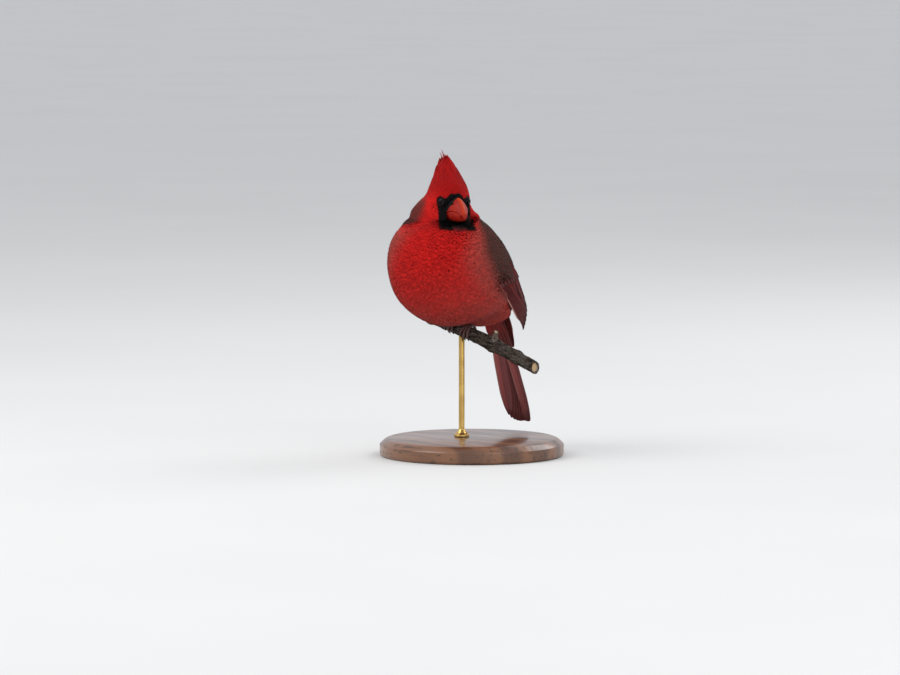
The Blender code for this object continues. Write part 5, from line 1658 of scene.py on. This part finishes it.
# %% [markdown]
# Only the toes show under the fluffed belly.  Three toes lie over the front of the branch
# and one grips from behind, each a row of horny scutes that ends in a curved claw.

# %% Legs, toes and claws
LEG_RADIUS = 0.0016
LEG_TOP_RADIUS = 0.0036
HUB_HEIGHT = 0.0030
HUB_RADIUS = 0.0020
LEG_LENGTH = 0.0060
GAP = 0.0003
TOE_RADIUS = 0.00105
# Toes: sideways start, sideways end, start angle, end angle around the branch
TOES = [(-0.0010, -0.0038, 8.0, 112.0), (0.0, 0.0, 8.0, 128.0), (0.0010, 0.0038, 8.0, 112.0), (0.0, 0.0006, -8.0, -104.0)]
CLAW_ANGLE = 38.0
SCUTES = 9


def around_branch(x, sideways, angle, out):
    centre = perch_at(np.array([x]))[0]
    along = unit(perch_at(np.array([x + 0.001]))[0] - perch_at(np.array([x - 0.001]))[0])
    ahead = np.array((0.0, -1.0, 0.0))
    up = unit(np.cross(along, ahead))
    up = up if up[2] > 0.0 else -up
    radial = np.outer(np.cos(angle), up) + np.outer(np.sin(angle), ahead)
    return centre + np.outer(sideways, along) + radial * out[:, None], radial


def bent_tube(name, path_of, radius_of, columns, rows):
    def place(across, along):
        angle = across * 2.0 * math.pi
        centre, out = path_of(along)
        ahead = unit(path_of(along + 0.004)[0] - path_of(along - 0.004)[0])
        side = unit(np.cross(ahead, out))
        out = np.cross(side, ahead)
        radius = radius_of(along, np.cos(angle))
        return centre + (out * np.cos(angle)[:, None] + side * np.sin(angle)[:, None]) * radius[:, None] + BIRD_ORIGIN

    return bent_grid(name, columns, rows, place)


def toe(name, x, start, end, from_angle, to_angle):
    def path(along):
        angle = np.radians(from_angle + (to_angle - from_angle) * along)
        rest = PERCH_RADIUS + GAP + 0.0001 + TOE_RADIUS * (1.0 - 0.22 * along)
        return around_branch(x, start + (end - start) * along, angle, rest)

    def radius(along, top):
        joint = 0.10 * np.cos(along * 3.0 * 2.0 * math.pi) ** 2
        ridge = 0.055 * np.abs(np.sin(along * SCUTES * math.pi)) * (top > -0.2)
        tip = 1.0 - 0.45 * ease(0.90, 1.0, along)
        return TOE_RADIUS * (1.0 - 0.22 * along) * (0.90 + joint + ridge) * tip

    return bent_tube(name, path, radius, 20, 72)


def claw(name, x, end, to_angle):
    sign = 1.0 if to_angle > 0.0 else -1.0

    def path(along):
        angle = np.radians(to_angle + sign * CLAW_ANGLE * (along - 0.10))
        rest = PERCH_RADIUS + GAP + 0.0001 + TOE_RADIUS * (0.80 - 0.42 * along)
        return around_branch(x, np.full_like(along, end), angle, rest)

    def radius(along, top):
        return TOE_RADIUS * (0.60 * (1.0 - along) ** 0.75 + 0.06)

    return bent_tube(name, path, radius, 16, 28)


def joined(name, pieces):
    only(None)
    for piece in pieces:
        piece.select_set(True)
    bpy.context.view_layer.objects.active = pieces[0]
    bpy.ops.object.join()
    pieces[0].name = name
    return pieces[0]


def shank(name, x, profile):
    low = perch_at(np.array([x]))[0][2]

    def path(along):
        height = low + np.interp(along, np.linspace(0.0, 1.0, len(profile)), [p[1] for p in profile])
        centre = np.stack([np.full_like(height, x), np.full_like(height, PERCH_Y), height], axis=1)
        return centre, np.tile((0.0, -1.0, 0.0), (len(height), 1))

    def radius(along, top):
        plain = np.interp(along, np.linspace(0.0, 1.0, len(profile)), [p[0] for p in profile])
        return plain * (1.0 + 0.05 * np.abs(np.sin(along * 6.0 * math.pi)) * (top > 0.0))

    return bent_tube(name, path, radius, 24, 48)


leg_finish = Finish("leg_scales", 0.52)
leg_finish.shader.inputs["Specular IOR Level"].default_value = 0.35
scales = leg_finish.node("TexVoronoi", {"Vector": leg_finish.place(), "Scale": 1500.0}, feature="DISTANCE_TO_EDGE").outputs["Distance"]
leg_tone = leg_finish.noise(500.0, 3.0)
colour = leg_finish.mix(leg_tone, shade(104, 66, 60), shade(78, 48, 45))
colour = leg_finish.mix(leg_finish.ramp(scales, 0.02, 0.12, 0.6, 0.0), colour, shade(52, 32, 31))
leg_finish.colour(colour)
leg_finish.bump(leg_finish.ramp(scales, 0.0, 0.16), 0.00008, 0.7)
claw_finish = Finish("claw_horn", 0.30)
claw_tone = claw_finish.noise(900.0, 3.0, stretch=(1.0, 1.0, 0.3))
claw_finish.colour(claw_finish.mix(claw_tone, shade(38, 28, 27), shade(66, 50, 46)))
claw_finish.bump(claw_tone, 0.00004, 0.4)

seat = PERCH_RADIUS + GAP
for side_name, x in (("left", FOOT_X), ("right", -FOOT_X)):
    hub = shank("hub", x, [(0.0012, seat + 0.0003), (HUB_RADIUS, seat + 0.0011), (LEG_RADIUS, seat + HUB_HEIGHT)])
    toes = [toe("toe", x, *shape) for shape in TOES]
    foot = joined("scaled_foot_" + side_name, [hub] + toes)
    claws = joined("claws_" + side_name, [claw("claw", x, shape[1], shape[3]) for shape in TOES])
    base = seat + HUB_HEIGHT + GAP
    leg = shank("scaled_leg_" + side_name, x, [(LEG_RADIUS, base - 0.0004), (LEG_RADIUS * 1.02, base + 0.0022),
                                               (LEG_TOP_RADIUS * 0.9, base + LEG_LENGTH - 0.0014),
                                               (LEG_TOP_RADIUS, base + LEG_LENGTH)])
    leg_finish.on(foot, leg)
    claw_finish.on(claws)
    belongs(foot, "leg_scale", "foot_" + side_name)
    belongs(claws, "leg_scale")
    belongs(leg, "leg_scale", "leg_" + side_name)

# %% [markdown]
# The stand is a turned wooden base with a stepped edge and a thin brass rod with a collar.
# Both are turned work, so each starts as a filled circle that is extruded upwards step by
# step, widened or narrowed to its profile at every step.

# %% The stand
BASE_PROFILE = [(0.0618, 0.0), (0.0630, 0.0014), (0.0630, 0.0078), (0.0614, 0.0094), (0.0592, 0.0112), (0.0568, 0.0120)]
BASE_TOP = 0.0120
ROD_RADIUS = 0.0020
COLLAR = [(0.0052, 0.0), (0.0052, 0.0014), (0.0038, 0.0024), (0.0026, 0.0042), (0.0020, 0.0050)]


def turned_work(name, profile, centre, corners, soften):
    only(None)
    start = Vector(centre) + Vector((0.0, 0.0, profile[0][1]))
    bpy.ops.mesh.primitive_circle_add(vertices=corners, radius=profile[0][0], fill_type="NGON", location=start)
    piece = bpy.context.object
    piece.name = name
    bpy.ops.object.transform_apply(location=True, rotation=False, scale=False)
    edit(piece)
    bpy.ops.mesh.select_mode(type="FACE")
    bpy.ops.mesh.select_all(action="SELECT")
    for (radius, height), (next_radius, next_height) in zip(profile, profile[1:]):
        bpy.ops.mesh.extrude_region_move(TRANSFORM_OT_translate={"value": (0.0, 0.0, next_height - height)})
        share = next_radius / radius
        bpy.ops.transform.resize(value=(share, share, 1.0),
                                 center_override=(centre[0], centre[1], centre[2] + next_height))
    bpy.ops.mesh.select_all(action="SELECT")
    bpy.ops.mesh.normals_make_consistent(inside=False)
    leave_edit()
    finish_with(piece, "BEVEL", width=soften, segments=3, limit_method="ANGLE", angle_limit=math.radians(20.0))
    only(piece)
    bpy.ops.object.shade_smooth_by_angle(angle=math.radians(35.0))
    return piece


base = turned_work("turned_base", BASE_PROFILE, (0.0, 0.0, 0.0), 144, 0.0004)
rod_foot = (float(BIRD_ORIGIN[0]), PERCH_Y + float(BIRD_ORIGIN[1]), BASE_TOP + GAP)
rod_top = float(perch_at(np.array([0.0]))[0][2]) + float(BIRD_ORIGIN[2]) - PERCH_RADIUS + 0.0020 - rod_foot[2]
rod = turned_work("brass_rod", COLLAR + [(ROD_RADIUS, rod_top)], rod_foot, 40, 0.0002)

wood_finish = Finish("walnut_finish", 0.34, Coat_Weight=0.35, Coat_Roughness=0.12)
bend = wood_finish.noise(9.0, 3.0, stretch=(1.0, 5.0, 1.0))
x_part = wood_finish.node("SeparateXYZ", {0: wood_finish.place()})
grain_line = wood_finish.math("ADD", wood_finish.math("MULTIPLY", x_part.outputs[1], 260.0), wood_finish.math("MULTIPLY", bend, 9.0))
grain = wood_finish.math("SINE", grain_line)
pores = wood_finish.noise(420.0, 3.0, stretch=(0.06, 1.0, 1.0))
colour = wood_finish.mix(wood_finish.ramp(grain, -1.0, 1.0), shade(92, 58, 38), shade(124, 82, 54))
colour = wood_finish.mix(wood_finish.ramp(pores, 0.30, 0.46, 0.8, 0.0), colour, shade(50, 30, 20))
wood_finish.colour(colour)
wood_finish.roughness(wood_finish.ramp(pores, 0.3, 0.5, 0.46, 0.30))
wood_finish.bump(pores, 0.00010, 0.35)
wood_finish.on(base)
brass_finish = Finish("brass_finish", 0.24, Metallic=1.0)
brushing = brass_finish.noise(900.0, 3.0, stretch=(1.0, 1.0, 0.05))
tarnish = brass_finish.noise(60.0, 3.0)
brass_finish.colour(brass_finish.mix(brass_finish.ramp(tarnish, 0.35, 0.75), shade(214, 178, 104), shade(176, 138, 76)))
brass_finish.roughness(brass_finish.ramp(brushing, 0.3, 0.7, 0.18, 0.34))
brass_finish.bump(brushing, 0.00003, 0.3)
brass_finish.on(rod)
belongs(base, "base_wood", "stand_base")
belongs(rod, "rod_brass", "stand_rod")
